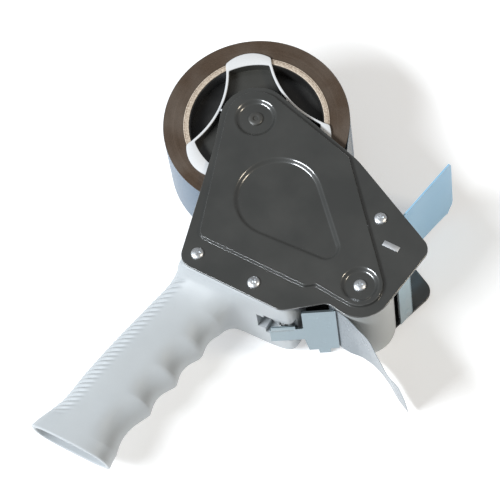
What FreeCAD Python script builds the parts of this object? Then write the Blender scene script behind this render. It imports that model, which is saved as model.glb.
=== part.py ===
"""Pistol-grip packing tape dispenser, lying on its rear side plate.

Units are millimetres. The origin is on the axis of the tape spindle, in the plane that the tool lies on.
+Z points up through the tool, from the rear plate to the front plate.
+X points forward, to the face that meets the carton. The handle hangs towards -Y, the roll is towards +Y.
"""

import FreeCAD
import Part
import os
from math import acos, atan2, cos, hypot, pi, radians, sin

# Clearances
RUN = 0.05            # radial gap of a running fit
GAP = 0.3             # gap between faces that pass each other
HOLE_GAP = 0.2        # radial gap round a screw or a rivet
OVER = 1.0            # how far a cutting tool passes the face that it cuts
CUT_ROOM = 60.0       # reach of a box that cuts away everything past a plane

# Pressed side plates
SHEET = 1.2           # sheet thickness
RISE = 2.0            # height of the raised panel over the rim
INNER_WIDTH = 53.6    # clear width between the two rims
RIM_LOW = RISE + SHEET
RIM_HIGH = RIM_LOW + INNER_WIDTH
OUTER_LOW = RISE
OUTER_HIGH = RIM_HIGH + SHEET
TOP = OUTER_HIGH + RISE
MIDDLE = TOP / 2

# Places of the fixings, measured from the spindle axis
ROLLER_AT = (100.8, -63.4)
POST_AT = (91.5, -22.7)
HANDLE_REAR_AT = (12.4, -87.4)
HANDLE_FRONT_AT = (48.5, -88.4)

# Roller and axle sizes that other pieces take their places from
ROLLER_RADIUS = 17.7
AXLE_RADIUS = 5.0

# Plate edges as circles that a line runs round: x, y, radius; a negative radius is a hollow corner
SPINDLE_LOBE = 20.3
ROLLER_LOBE = ROLLER_RADIUS + 1.0
EDGE = [
    (0, 0, SPINDLE_LOBE),
    (-41.3, -33.9, -30.0),
    (HANDLE_REAR_AT[0], HANDLE_REAR_AT[1], 9.0),
    (66.5, -88.4, 8.0),
    (91.0, -86.0, -5.0),
    (ROLLER_AT[0], ROLLER_AT[1], ROLLER_LOBE),
    (115.6, -31.0, 8.5),
    (43.0, -50.0, 57.0),
]
REAR_EDGE = [
    (0, 0, SPINDLE_LOBE),
    (-41.3, -33.9, -30.0),
    (HANDLE_REAR_AT[0], HANDLE_REAR_AT[1], 9.0),
    (HANDLE_FRONT_AT[0] + 1.5, HANDLE_FRONT_AT[1] + 1.5, 7.2),
    (80.0, -87.0, -6.0),
    (ROLLER_AT[0], ROLLER_AT[1], ROLLER_LOBE - 5.9),
    (115.6, -31.0, 8.5),
    (43.0, -50.0, 57.0),
]
PANEL = [
    (0, 0, 16.8),
    (11.5, -73.0, 5.0),
    (73.5, -75.0, 3.0),
    (80.0, -77.6, -3.0),
    (ROLLER_AT[0], ROLLER_AT[1], 12.8),
    (55.0, -3.0, 6.0),
]
REAR_PANEL = [
    (0, 0, 16.8),
    (11.5, -73.0, 5.0),
    (68.0, -71.0, 4.0),
    (85.0, -52.0, 5.0),
    (55.0, -3.0, 6.0),
]
SPINDLE_DISH = 10.6
ROLLER_DISH = 9.4
DISH = [(35.5, -37.6, 23.5), (73.8, -52.3, 6.7)]

# Tape roll on its cardboard core
TAPE_WIDTH = 48.0
TAPE_THICK = 0.3
CORE_BORE = 38.1
CORE_WALL = 3.1
ROLL_RADIUS = 52.6
ROLL_LOW = MIDDLE - TAPE_WIDTH / 2
ROLL_HIGH = MIDDLE + TAPE_WIDTH / 2

# Spindle and brake
AXLE_NECK = AXLE_RADIUS - 1.5
RIVET_RADIUS = AXLE_NECK + 0.7
RIVET_HEIGHT = 1.4
BRAKE_SCREW_RADIUS = AXLE_RADIUS - 2.0
BRAKE_HEAD_RADIUS = 9.0
BRAKE_HEAD_HEIGHT = RISE - 0.2
COIN_SLOT = 1.6
COIN_SLOT_DEPTH = 1.1
BARREL_RADIUS = AXLE_RADIUS + 3.0
BARREL_INSET = 2.0
DRUM_WALL = 2.0
DRUM_DEPTH = 38.0
FLANGE = 1.2
FLANGE_RADIUS = CORE_BORE + CORE_WALL + 0.8
RIB_COUNT = 6
RIB = 1.6
RIB_SINK = 1.0        # how far a rib runs into the wall that it meets
FELT = 1.0
FELT_RADIUS = AXLE_RADIUS + 9.0
SPRING_FOOT = 2.5
SPRING_INSET = 3.0

# Three-armed retainer in front of the drum
ARMS = 3
ARM_ANGLE = 6.0
HOLLOW_RADIUS = 54.3
HOLLOW_AT = HOLLOW_RADIUS + 22.3
ARM_WALL = 1.5
LIP = 1.35
LIP_RADIUS = 19.5
LIP_AT = CORE_BORE + CORE_WALL + 2.8 - LIP_RADIUS

# Pressure roller
SLEEVE_WALL = 5.7
SLEEVE_BORE = ROLLER_RADIUS - SLEEVE_WALL
SLEEVE_INSET = 0.45
ROLLER_AXLE = 4.0
CORE_WEB = 1.5        # room between the axle and the roller's core
BUSH_RADIUS = ROLLER_AXLE + 3.0
BUSH_LENGTH = 8.0
BUSH_FLANGE = BUSH_RADIUS + 2.0
FLANGE_THICK = 1.0
ROLLER_SIDE_GAP = 0.8

# Screws
SCREW = 2.0
HEAD_RADIUS = 3.5
HEAD_HEIGHT = RISE - 0.1
HEAD_ROUND = 0.6      # share of a head's height that its edge is rounded
CROSS_REACH = HEAD_RADIUS / 2
CROSS_WIDTH = 0.9
CROSS_DEPTH = 1.0
SCREW_LENGTH = 12.0
THREAD_SPARE = 2.0    # thread left beyond a screw's end
POST_RADIUS = 4.5

# Handle
BLOCK = [
    (HANDLE_REAR_AT[0], HANDLE_REAR_AT[1] + 0.4, 8.0),
    (66.5, -88.8, 7.2),
    (70.5, -81.0, 3.0),
    (HANDLE_REAR_AT[0] - 4.4, -81.0, 3.0),
]
BLOCK_HALF = INNER_WIDTH / 2
UNDERSIDE = BLOCK[1][1] - BLOCK[1][2]
HANDLE_WALL = 3.0
# Grip sections: distance below the spindle, back edge, finger edge, half thickness
GRIP = [
    (86.0, 5.5, 52.0, BLOCK_HALF - 1.3),
    (97.0, 4.0, 45.0, BLOCK_HALF - 3.8),
    (108.0, 0.0, 38.0, 18.5),
    (122.0, -3.8, 36.0, 16.0),
    (150.0, -10.5, 32.6, 15.0),
    (180.0, -15.4, 25.0, 15.0),
    (194.0, -18.6, 23.0, 15.0),
    (207.0, -23.5, 24.5, 15.5),
]
GRIP_SPARE = 12.0     # length past the last section that the slanted end cuts off
END_SLANT = 7.0       # degrees that the open end leans
FINGERS = [(118.0, 36.5), (140.0, 34.2), (162.5, 30.4), (186.0, 25.2)]
FINGER_RADIUS = 15.0
FINGER_DEPTH = 2.2
SLOT_X = (53.5, 62.5)
SLOT_Z = (MIDDLE - 6.0, MIDDLE + 9.0)
SLOT_DEPTH = 6.5

# Hold-down plate below the roller
HOLD_ANGLE = 253.6    # where its edge faces the roller, in degrees round the roller
HOLD_GAP = 1.5        # room for the tape between its edge and the roller
HOLD_LENGTH = 18.6
HOLD_SLOPE = 31.4     # degrees
HOLD_THICK = 1.2
HOLD_SIDE_GAP = 2.0
ARM_Z = (MIDDLE - 13.0, MIDDLE + 3.0)
ARM_LENGTH = 18.5
HINGE_BACK = 10.5
HINGE_LIFT = 2.9
KNUCKLE = 3.0
PIN_RADIUS = 1.5
ROOM_BELOW = 2.5      # free space in the handle round the arm and the knuckle
ROOM_ABOVE = 7.0
ROOM_BEHIND = 3.0
ROOM_OVER = 1.5
SPRING_WIRE = 0.9
SPRING_TURNS = 4
SPRING_LEG = 7.0

# Blade, its holder and the wiper
BLADE_ANGLE = 29.2    # where its back edge stands, in degrees round the roller
BLADE_GAP = 3.0
BLADE_WIDTH = 10.6
BLADE_SLOPE = 78.0    # degrees
BLADE_THICK = 0.8
BLADE_SIDE_GAP = 1.8
TEETH = 25
TOOTH_DEPTH = 1.5
BAR_TOP = -33.2
BAR_THICK = 3.2
FOOT = 4.2
FOOT_BACK = 2.0       # how far the foot's root stands behind the tab's front edge
FOOT_LIP = 0.5
FOOT_SIDE_GAP = 1.0
TAB_X = (99.9, 109.5)
TAB_PROUD = 0.4
RIVET = 1.3
RIVET_HEAD = 2.4
RIVET_CAP = 0.7
RIVET_GRIP = 3.0      # length of a blade rivet in the holder's foot
RIVET_BITE = 0.2      # how far its shank runs into its cap
WIPER_FROM = (97.4, -32.5)
WIPER_LENGTH = 60.0
WIPER_SLOPE = 79.4    # degrees
WIPER_THICK = 0.8
WIPER_CLAMPED = 10.0
WIPER_SIDE_GAP = 0.8
UPSTAND = 2.0
CLAMP = 1.0
CLAMP_INSET = 1.0
RIVET_SPACING = 16.0

# Free end of the tape: radius and turn of each bend, in degrees
TAIL_LEAVES = 262.0
TAIL_BENDS = [(68.0, -30.0), (86.0, 13.0)]
WRAP_STEPS = 12
BEND_STEPS = 8


def vec(x, y, z=0.0):
    return FreeCAD.Vector(x, y, z)


def unit(start, end):
    length = hypot(end[0] - start[0], end[1] - start[1])
    return (end[0] - start[0]) / length, (end[1] - start[1]) / length


def heading_of(slope):
    return cos(radians(slope)), sin(radians(slope))


def along(start, direction, distance, side=0.0):
    """A point at a distance along a direction, moved to its left by side."""
    x = start[0] + direction[0] * distance - direction[1] * side
    y = start[1] + direction[1] * distance + direction[0] * side
    return x, y


def on_circle(centre, radius, angle):
    return centre[0] + radius * cos(angle), centre[1] + radius * sin(angle)


def belt(circles, grow=0.0):
    """The closed line that runs anticlockwise round the circles, moved outwards by grow."""
    count = len(circles)
    turned = []
    for i, (x, y, r) in enumerate(circles):
        x2, y2, r2 = circles[(i + 1) % count]
        turned.append(atan2(y2 - y, x2 - x) - acos((r - r2) / hypot(x2 - x, y2 - y)))
    edges = []
    for i, (x, y, r) in enumerate(circles):
        x2, y2, r2 = circles[(i + 1) % count]
        radius = r + grow
        came, leaves = turned[i - 1], turned[i]
        sweep = (leaves - came) % (2 * pi)
        if radius < 0:
            sweep -= 2 * pi
        bend = [on_circle((x, y), radius, came + sweep * part) for part in (0, 0.5, 1)]
        edges.append(Part.Arc(*[vec(*p) for p in bend]).toShape())
        reach = on_circle((x2, y2), r2 + grow, leaves)
        edges.append(Part.LineSegment(vec(*bend[2]), vec(*reach)).toShape())
    return Part.Wire(edges)


def raised(wire, low, high):
    face = Part.Face(wire)
    face.translate(vec(0, 0, low))
    return face.extrude(vec(0, 0, high - low))


def prism(points, low, high):
    corners = [vec(*p) for p in points]
    return raised(Part.makePolygon(corners + corners[:1]), low, high)


def disc(radius, low, high, at=(0, 0)):
    return Part.makeCylinder(radius, high - low, vec(at[0], at[1], low))


def ring(outer, inner, low, high, at=(0, 0)):
    return disc(outer, low, high, at).cut(disc(inner, low, high, at))


def box(x, y, z):
    return Part.makeBox(x[1] - x[0], y[1] - y[0], z[1] - z[0], vec(x[0], y[0], z[0]))


def joined(shapes):
    first = shapes[0]
    return first.fuse(shapes[1:]).removeSplitter() if len(shapes) > 1 else first


def flipped(shape):
    """The same piece on the other side of the tool's middle plane."""
    return shape.mirror(vec(0, 0, MIDDLE), vec(0, 0, 1))


def screw_places():
    return [HANDLE_REAR_AT, HANDLE_FRONT_AT, POST_AT, ROLLER_AT]


def round_dish(radius, at=(0, 0)):
    """The outer and the inner line of a round dish."""
    return [Part.Wire(Part.makeCircle(radius + grow, vec(*at))) for grow in (SHEET, 0)]


def long_dish():
    return [belt(DISH, SHEET), belt(DISH)]


def side_plate(edge, panel, dishes):
    """Plate as it lies in front: a flat rim and a raised panel with dishes pressed back to rim height."""
    floor = RIM_HIGH
    shape = raised(belt(edge), floor, floor + SHEET)
    shape = shape.fuse(raised(belt(panel), floor, TOP))
    shape = shape.cut(raised(belt(panel, -SHEET), floor - OVER, floor + RISE))
    for outside, inside in dishes:
        shape = shape.fuse(raised(outside, floor, TOP))
        shape = shape.cut(raised(inside, floor + SHEET, TOP + OVER))
    holes = [disc(SCREW + HOLE_GAP, floor - OVER, TOP, at) for at in screw_places()]
    holes.append(disc(AXLE_NECK, floor - OVER, TOP))
    holes.append(bar_slot(floor - OVER, TOP + OVER))
    return shape.cut(holes).removeSplitter()


def front_plate():
    dishes = [round_dish(SPINDLE_DISH), round_dish(ROLLER_DISH, ROLLER_AT), long_dish()]
    return side_plate(EDGE, PANEL, dishes)


def rear_plate():
    """Rear plate: cut back at the roller and under the hold-down plate, with no dish at the roller."""
    shape = flipped(side_plate(REAR_EDGE, REAR_PANEL, [round_dish(SPINDLE_DISH), long_dish()]))
    return shape.cut(disc(BRAKE_SCREW_RADIUS + HOLE_GAP, 0, RIM_LOW + OVER))


def bar_slot(low, high):
    gap = HOLE_GAP
    y = (BAR_TOP - BAR_THICK - gap, BAR_TOP + gap)
    return box((TAB_X[0] - gap, TAB_X[1] + gap), y, (low, high))


def edges_at(shape, height):
    return [edge for edge in shape.Edges if abs(edge.CenterOfMass.z - height) < RUN]


def pan_screw(at, seat, length):
    """A screw whose head sits on the front plate and whose shank points to the rear."""
    head = disc(HEAD_RADIUS, seat, seat + HEAD_HEIGHT, at)
    head = head.makeFillet(HEAD_HEIGHT * HEAD_ROUND, edges_at(head, seat + HEAD_HEIGHT))
    shank = disc(SCREW, seat - length, seat, at)
    shape = head.fuse(shank)
    top = seat + HEAD_HEIGHT
    wide = CROSS_WIDTH / 2
    for long, short in ((CROSS_REACH, wide), (wide, CROSS_REACH)):
        x, y = (at[0] - long, at[0] + long), (at[1] - short, at[1] + short)
        shape = shape.cut(box(x, y, (top - CROSS_DEPTH, top + OVER)))
    return shape.removeSplitter()


def front_screws():
    return Part.makeCompound([pan_screw(at, OUTER_HIGH, SCREW_LENGTH) for at in screw_places()])


def rear_screws():
    return flipped(front_screws())


def threaded_tube(outer, at):
    """A steel tube between the plates, with a screw hole in each end."""
    shape = disc(outer, RIM_LOW, RIM_HIGH, at)
    deep = SCREW_LENGTH - SHEET + THREAD_SPARE
    ends = [disc(SCREW, RIM_LOW, RIM_LOW + deep, at), disc(SCREW, RIM_HIGH - deep, RIM_HIGH, at)]
    return shape.cut(ends)


def drum_low():
    return ROLL_LOW - FLANGE


def hub_axle():
    """Spindle riveted to the front plate and tapped from the rear for the brake screw."""
    shape = disc(AXLE_RADIUS, RIM_LOW, RIM_HIGH)
    shape = shape.fuse(disc(AXLE_NECK, RIM_HIGH, OUTER_HIGH))
    head = disc(RIVET_RADIUS, OUTER_HIGH, OUTER_HIGH + RIVET_HEIGHT)
    shape = shape.fuse(head.makeFillet(RIVET_HEIGHT * HEAD_ROUND, edges_at(head, OUTER_HIGH + RIVET_HEIGHT)))
    tapped = disc(BRAKE_SCREW_RADIUS + RUN, RIM_LOW, RIM_LOW + SCREW_LENGTH + THREAD_SPARE)
    return shape.cut(tapped).removeSplitter()


def brake_screw():
    low = OUTER_LOW - BRAKE_HEAD_HEIGHT
    head = disc(BRAKE_HEAD_RADIUS, low, OUTER_LOW - RUN)
    half = COIN_SLOT / 2
    slot = box((-BRAKE_HEAD_RADIUS, BRAKE_HEAD_RADIUS), (-half, half), (low, low + COIN_SLOT_DEPTH))
    shank = disc(BRAKE_SCREW_RADIUS, OUTER_LOW - RUN, RIM_LOW + SCREW_LENGTH)
    return head.cut(slot).fuse(shank).removeSplitter()


def brake_felt():
    high = drum_low() - RUN
    return ring(FELT_RADIUS, AXLE_RADIUS + HOLE_GAP, high - FELT, high)


def brake_spring():
    """Dished spring washer that presses the felt on the drum."""
    low, high = RIM_LOW, drum_low() - RUN - FELT
    middle = (low + high) / 2
    leaf = (high - low) / 2
    inner = AXLE_RADIUS + HOLE_GAP
    outer = inner + SPRING_FOOT
    foot = ring(outer, inner, low, low + leaf)
    cone = Part.makeCone(outer, FELT_RADIUS - SPRING_INSET, leaf, vec(0, 0, middle))
    return foot.fuse(cone.cut(disc(inner, low, high))).removeSplitter()


def hub_drum():
    """Black drum that carries the core: outer wall, end flange, front disc, ribs and barrel."""
    low = drum_low()
    high = ROLL_LOW + DRUM_DEPTH
    outer = CORE_BORE - GAP
    wall = ring(outer, outer - DRUM_WALL, low, high)
    flange = ring(FLANGE_RADIUS, AXLE_RADIUS, low, ROLL_LOW)
    front = disc(outer, high - DRUM_WALL, high)
    barrel = disc(BARREL_RADIUS, low, ROLL_HIGH - BARREL_INSET)
    ribs = []
    for i in range(RIB_COUNT):
        rib = box((0, outer - RIB_SINK), (-RIB / 2, RIB / 2), (low, high - RIB_SINK))
        rib.rotate(vec(0, 0), vec(0, 0, 1), i * 360 / RIB_COUNT)
        ribs.append(rib)
    shape = joined([wall, flange, front, barrel] + ribs)
    return shape.cut(disc(AXLE_RADIUS + RUN, 0, TOP)).removeSplitter()


def hollows(grow, low, high):
    """The three round hollows between the arms."""
    shapes = []
    for i in range(ARMS):
        angle = radians(ARM_ANGLE + 180 / ARMS + i * 360 / ARMS)
        shapes.append(disc(HOLLOW_RADIUS + grow, low, high, on_circle((0, 0), HOLLOW_AT, angle)))
    return shapes


def core_retainer():
    """Three-armed springy collar whose lips hold the core on the drum."""
    low = ROLL_LOW + DRUM_DEPTH
    lip_low = ROLL_HIGH + RUN
    high = lip_low + LIP
    outer = CORE_BORE - GAP
    wall = disc(outer, low, high).cut(hollows(0, low, high))
    lips = []
    for i in range(ARMS):
        angle = radians(ARM_ANGLE + i * 360 / ARMS)
        lips.append(disc(LIP_RADIUS, lip_low, high, on_circle((0, 0), LIP_AT, angle)))
    lips = joined(lips).cut(hollows(0, low, high))
    inside = disc(outer - ARM_WALL, low, high + OVER).cut(hollows(ARM_WALL, low, high + OVER))
    return wall.fuse(lips).cut(inside).removeSplitter()


def tape_core():
    return ring(CORE_BORE + CORE_WALL, CORE_BORE, ROLL_LOW, ROLL_HIGH)


def tape_roll():
    return ring(ROLL_RADIUS, CORE_BORE + CORE_WALL, ROLL_LOW, ROLL_HIGH)


def strip(points, thick):
    """The outline of a strip that lies to the right of a line of points."""
    other = []
    for i, p in enumerate(points):
        before, after = points[max(i - 1, 0)], points[min(i + 1, len(points) - 1)]
        other.append(along(p, unit(before, after), 0, -thick))
    return points + other[::-1]


def bend_points(start, heading, radius, turn, steps):
    """Points on a bend that starts at a place and a heading, with its end place and heading."""
    side = 1 if turn > 0 else -1
    centre = (start[0] - side * radius * sin(heading), start[1] + side * radius * cos(heading))
    points = []
    for i in range(1, steps + 1):
        angle = heading + turn * i / steps
        x = centre[0] + side * radius * sin(angle)
        points.append((x, centre[1] - side * radius * cos(angle)))
    return points, heading + turn


def web_line():
    """The tape's line from the roll to the roller and round it to where the free end starts."""
    leaves_roll = ROLL_RADIUS + GAP
    meets_roller = ROLLER_RADIUS + GAP + TAPE_THICK
    span = hypot(*ROLLER_AT)
    normal = atan2(ROLLER_AT[1], ROLLER_AT[0]) + acos((leaves_roll + meets_roller) / span)
    start = on_circle((0, 0), leaves_roll, normal)
    touch = normal + pi
    end = radians(TAIL_LEAVES)
    wrap = [touch + (end - touch) * i / WRAP_STEPS for i in range(WRAP_STEPS + 1)]
    return [start] + [on_circle(ROLLER_AT, meets_roller, a) for a in wrap]


def tail_line():
    """The free end's line, which goes on from the web's."""
    heading = radians(TAIL_LEAVES) + pi / 2
    points = [web_line()[-1]]
    for radius, turn in TAIL_BENDS:
        more, heading = bend_points(points[-1], heading, radius, radians(turn), BEND_STEPS)
        points += more
    return points


def tape_lines():
    """The tape's outer line and inner line, and how many of their points belong to the web."""
    web = web_line()
    outer = web + tail_line()[1:]
    both = strip(outer, -TAPE_THICK)
    return outer, both[len(outer):][::-1], len(web)


def tape_web():
    outer, inner, count = tape_lines()
    return prism(outer[:count] + inner[:count][::-1], ROLL_LOW, ROLL_HIGH)


def tape_tail():
    outer, inner, count = tape_lines()
    return prism(outer[count - 1:] + inner[count - 1:][::-1], ROLL_LOW, ROLL_HIGH)


def roller_span():
    return RIM_LOW + ROLLER_SIDE_GAP, RIM_HIGH - ROLLER_SIDE_GAP


def roller_sleeve():
    low, high = roller_span()
    return ring(ROLLER_RADIUS, SLEEVE_BORE, low + SLEEVE_INSET, high - SLEEVE_INSET, ROLLER_AT)


def roller_core():
    low, high = roller_span()
    low, high = low + FLANGE_THICK, high - FLANGE_THICK
    shape = ring(SLEEVE_BORE, ROLLER_AXLE + CORE_WEB, low, high, ROLLER_AT)
    seats = [
        disc(BUSH_RADIUS, low, low + BUSH_LENGTH, ROLLER_AT),
        disc(BUSH_RADIUS, high - BUSH_LENGTH, high, ROLLER_AT),
    ]
    return shape.cut(seats)


def roller_bushes():
    low = roller_span()[0]
    bore = ROLLER_AXLE + RUN
    flange = ring(BUSH_FLANGE, bore, low, low + FLANGE_THICK, ROLLER_AT)
    low += FLANGE_THICK
    bush = flange.fuse(ring(BUSH_RADIUS, bore, low, low + BUSH_LENGTH, ROLLER_AT)).removeSplitter()
    return Part.makeCompound([bush, flipped(bush)])


def grip_section(drop, back, front, half, inset=0.0):
    width = (front - back) / 2 - inset
    centre = vec((front + back) / 2, -drop, MIDDLE)
    depth = half - inset
    long, short = max(width, depth), min(width, depth)
    ellipse = Part.Ellipse(centre, long, short)
    ellipse.Axis = vec(0, -1, 0)
    shape = ellipse.toShape()
    if width < depth:
        shape.rotate(centre, vec(0, 1, 0), 90)
    return Part.Wire(shape)


def grip_solid(inset, first):
    wires = [grip_section(*row, inset=inset) for row in GRIP[first:]]
    last = list(GRIP[-1])
    last[0] += GRIP_SPARE
    wires.append(grip_section(*last, inset=inset))
    return Part.makeLoft(wires, True, False)


def handle():
    """One hollow moulding: a block between the plates and a grip that is open at its end."""
    shape = raised(belt(BLOCK), RIM_LOW, RIM_HIGH).fuse(grip_solid(0, 0))
    shape = shape.cut(grip_solid(HANDLE_WALL, 2))
    grooves = []
    for drop, edge in FINGERS:
        at = (edge + FINGER_RADIUS - FINGER_DEPTH, -drop)
        grooves.append(disc(FINGER_RADIUS, 0, TOP, at))
    shape = shape.cut(grooves)
    end = box((-CUT_ROOM, CUT_ROOM), (-CUT_ROOM, 0), (-CUT_ROOM, CUT_ROOM))
    end.rotate(vec(0, 0), vec(1, 0, 0), END_SLANT)
    end.translate(vec(0, -GRIP[-1][0], MIDDLE))
    shape = shape.cut(end)
    for at in (HANDLE_REAR_AT, HANDLE_FRONT_AT):
        shape = shape.cut([
            disc(SCREW, RIM_LOW, RIM_LOW + SCREW_LENGTH, at),
            disc(SCREW, RIM_HIGH - SCREW_LENGTH, RIM_HIGH, at),
        ])
    slot = box(SLOT_X, (UNDERSIDE - SLOT_DEPTH, UNDERSIDE + SLOT_DEPTH), SLOT_Z)
    return shape.cut(slot).cut(hinge_space()).removeSplitter()


def hold_line():
    """The hold-down plate's lower edge away from the roller, and the direction towards the roller."""
    direction = heading_of(HOLD_SLOPE)
    edge = on_circle(ROLLER_AT, ROLLER_RADIUS + HOLD_GAP, radians(HOLD_ANGLE))
    return along(edge, direction, -HOLD_LENGTH), direction


def hinge_at():
    start, direction = hold_line()
    return along(start, direction, -HINGE_BACK, HINGE_LIFT)


def hinge_space():
    """Room for the arm, the knuckle and the spring between the two ears of the block."""
    x, y = hinge_at()
    heights = (ARM_Z[0] - ROOM_BELOW, ARM_Z[1] + ROOM_ABOVE)
    swing = ARM_LENGTH - HINGE_BACK + ROOM_BEHIND
    middle = box((x - swing, x + CUT_ROOM), (y - CUT_ROOM, y + KNUCKLE + ROOM_OVER), heights)
    pin = disc(PIN_RADIUS, RIM_LOW, RIM_HIGH, (x, y))
    return middle.fuse(pin)


def hold_down_plate():
    """Plate that holds the tape at the roller, with its arm and the knuckle of its hinge."""
    origin, direction = hold_line()

    def bar(start, end, z):
        corners = [along(origin, direction, s, side) for s, side in (
            (start, 0), (end, 0), (end, HOLD_THICK), (start, HOLD_THICK))]
        return prism(corners, z[0], z[1])

    plate = bar(0, HOLD_LENGTH, (RIM_LOW + HOLD_SIDE_GAP, RIM_HIGH - HOLD_SIDE_GAP))
    arm = bar(-ARM_LENGTH, OVER, ARM_Z)
    knuckle = disc(KNUCKLE, ARM_Z[0], ARM_Z[1], hinge_at())
    foot = bar(-HINGE_BACK - PIN_RADIUS, -HINGE_BACK + PIN_RADIUS, ARM_Z)
    shape = joined([plate, arm, foot, knuckle])
    return shape.cut(disc(PIN_RADIUS + RUN, 0, TOP, hinge_at())).removeSplitter()


def hold_down_pin():
    return disc(PIN_RADIUS, RIM_LOW, RIM_HIGH, hinge_at())


def hold_down_spring():
    """Torsion spring beside the knuckle: its close coils as one sleeve, and one leg towards the block."""
    x, y = hinge_at()
    inner = PIN_RADIUS + HOLE_GAP
    outer = inner + SPRING_WIRE
    low = ARM_Z[1] + GAP
    coils = ring(outer, inner, low, low + SPRING_TURNS * SPRING_WIRE, (x, y))
    wire = SPRING_WIRE / 2
    leg = Part.makeCylinder(wire, SPRING_LEG, vec(x, y + inner + wire, low + wire), vec(-1, 0, 0))
    return coils.fuse(leg).removeSplitter()


def blade_line():
    """The blade's back edge and the direction towards its teeth."""
    start = on_circle(ROLLER_AT, ROLLER_RADIUS + BLADE_GAP, radians(BLADE_ANGLE))
    return start, heading_of(BLADE_SLOPE)


def blade():
    """Serrated strip: a saw outline laid on the blade's slope."""
    start, direction = blade_line()
    low, high = RIM_LOW + BLADE_SIDE_GAP, RIM_HIGH - BLADE_SIDE_GAP
    pitch = (high - low) / TEETH
    root = BLADE_WIDTH - TOOTH_DEPTH
    saw = [(0, high), (0, low), (root, low)]
    for i in range(TEETH):
        saw.append((BLADE_WIDTH, low + (i + 0.5) * pitch))
        saw.append((root, low + (i + 1) * pitch))
    corners = []
    for distance, z in saw:
        x, y = along(start, direction, distance)
        corners.append(vec(x, y, z))
    face = Part.Face(Part.makePolygon(corners + corners[:1]))
    shape = face.extrude(vec(-direction[1] * BLADE_THICK, direction[0] * BLADE_THICK, 0))
    return shape.cut(blade_rivet_shanks(RIVET))


def rivet_heights():
    return MIDDLE - RIVET_SPACING, MIDDLE, MIDDLE + RIVET_SPACING


def blade_rivet_shanks(radius):
    start, direction = blade_line()
    x, y = along(start, direction, BLADE_WIDTH / 2, BLADE_THICK + RIVET_GRIP)
    axis = vec(direction[1], -direction[0], 0)
    length = BLADE_THICK + RIVET_GRIP + RIVET_BITE
    return [Part.makeCylinder(radius, length, vec(x, y, z), axis) for z in rivet_heights()]


def blade_rivets():
    start, direction = blade_line()
    x, y = along(start, direction, BLADE_WIDTH / 2)
    axis = vec(direction[1], -direction[0], 0)
    rivets = []
    for shank, z in zip(blade_rivet_shanks(RIVET), rivet_heights()):
        cap = Part.makeCylinder(RIVET_HEAD, RIVET_CAP, vec(x, y, z), axis)
        rivets.append(shank.fuse(cap).removeSplitter())
    return Part.makeCompound(rivets)


def wiper_line():
    return heading_of(WIPER_SLOPE)


def blade_holder():
    """Cross bar with a tab in each side plate, a sloping foot for the blade and an upstand for the wiper."""
    start, direction = blade_line()
    low_foot = along(start, direction, BLADE_WIDTH / 2 - FOOT / 2, BLADE_THICK)
    high_foot = along(start, direction, BLADE_WIDTH / 2 + FOOT / 2, BLADE_THICK)
    under = BAR_TOP - BAR_THICK
    foot = [
        (TAB_X[1] - FOOT_BACK, BAR_TOP),
        (TAB_X[1] - FOOT_BACK, under),
        (low_foot[0] - BAR_THICK, low_foot[1]),
        low_foot,
        high_foot,
        (TAB_X[1] + FOOT_LIP, BAR_TOP),
    ]
    lean = wiper_line()
    start = (under - WIPER_FROM[1]) / lean[1]
    ends = [along(WIPER_FROM, lean, s, side) for s, side in (
        (start, 0), (WIPER_CLAMPED, 0), (WIPER_CLAMPED, UPSTAND), (start, UPSTAND))]
    bar = box((ends[3][0], TAB_X[1] - FOOT_BACK / 2), (under, BAR_TOP), (RIM_LOW, RIM_HIGH))
    tabs = box(TAB_X, (under, BAR_TOP), (OUTER_LOW - TAB_PROUD, OUTER_HIGH + TAB_PROUD))
    foot = prism(foot, RIM_LOW + FOOT_SIDE_GAP, RIM_HIGH - FOOT_SIDE_GAP)
    shape = joined([bar, tabs, foot, prism(ends, RIM_LOW, RIM_HIGH)])
    return shape.cut(blade_rivet_shanks(RIVET) + wiper_rivet_shanks()).removeSplitter()


def wiper_z():
    return RIM_LOW + WIPER_SIDE_GAP, RIM_HIGH - WIPER_SIDE_GAP


def wiper_slab(start, end, near, far, z):
    lean = wiper_line()
    corners = [along(WIPER_FROM, lean, s, -side) for s, side in (
        (start, near), (end, near), (end, far), (start, far))]
    return prism(corners, z[0], z[1])


def wiper_base():
    slab = wiper_slab(0, WIPER_CLAMPED, 0, WIPER_THICK, wiper_z())
    return slab.cut(wiper_rivet_shanks())


def wiper_flap():
    return wiper_slab(WIPER_CLAMPED + GAP, WIPER_LENGTH, 0, WIPER_THICK, wiper_z())


def wiper_clamp():
    slab = wiper_slab(CLAMP_INSET, WIPER_CLAMPED - CLAMP_INSET, WIPER_THICK, WIPER_THICK + CLAMP, wiper_z())
    return slab.cut(wiper_rivet_shanks())


def wiper_rivet_shanks():
    lean = wiper_line()
    x, y = along(WIPER_FROM, lean, WIPER_CLAMPED / 2, UPSTAND)
    axis = vec(lean[1], -lean[0], 0)
    length = UPSTAND + WIPER_THICK + CLAMP
    return [Part.makeCylinder(RIVET, length, vec(x, y, z), axis) for z in rivet_heights()]


def wiper_rivets():
    lean = wiper_line()
    x, y = along(WIPER_FROM, lean, WIPER_CLAMPED / 2, -WIPER_THICK - CLAMP)
    axis = vec(lean[1], -lean[0], 0)
    rivets = []
    for shank, z in zip(wiper_rivet_shanks(), rivet_heights()):
        cap = Part.makeCylinder(RIVET_HEAD, RIVET_CAP, vec(x, y, z), axis)
        rivets.append(shank.fuse(cap).removeSplitter())
    return Part.makeCompound(rivets)


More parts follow.
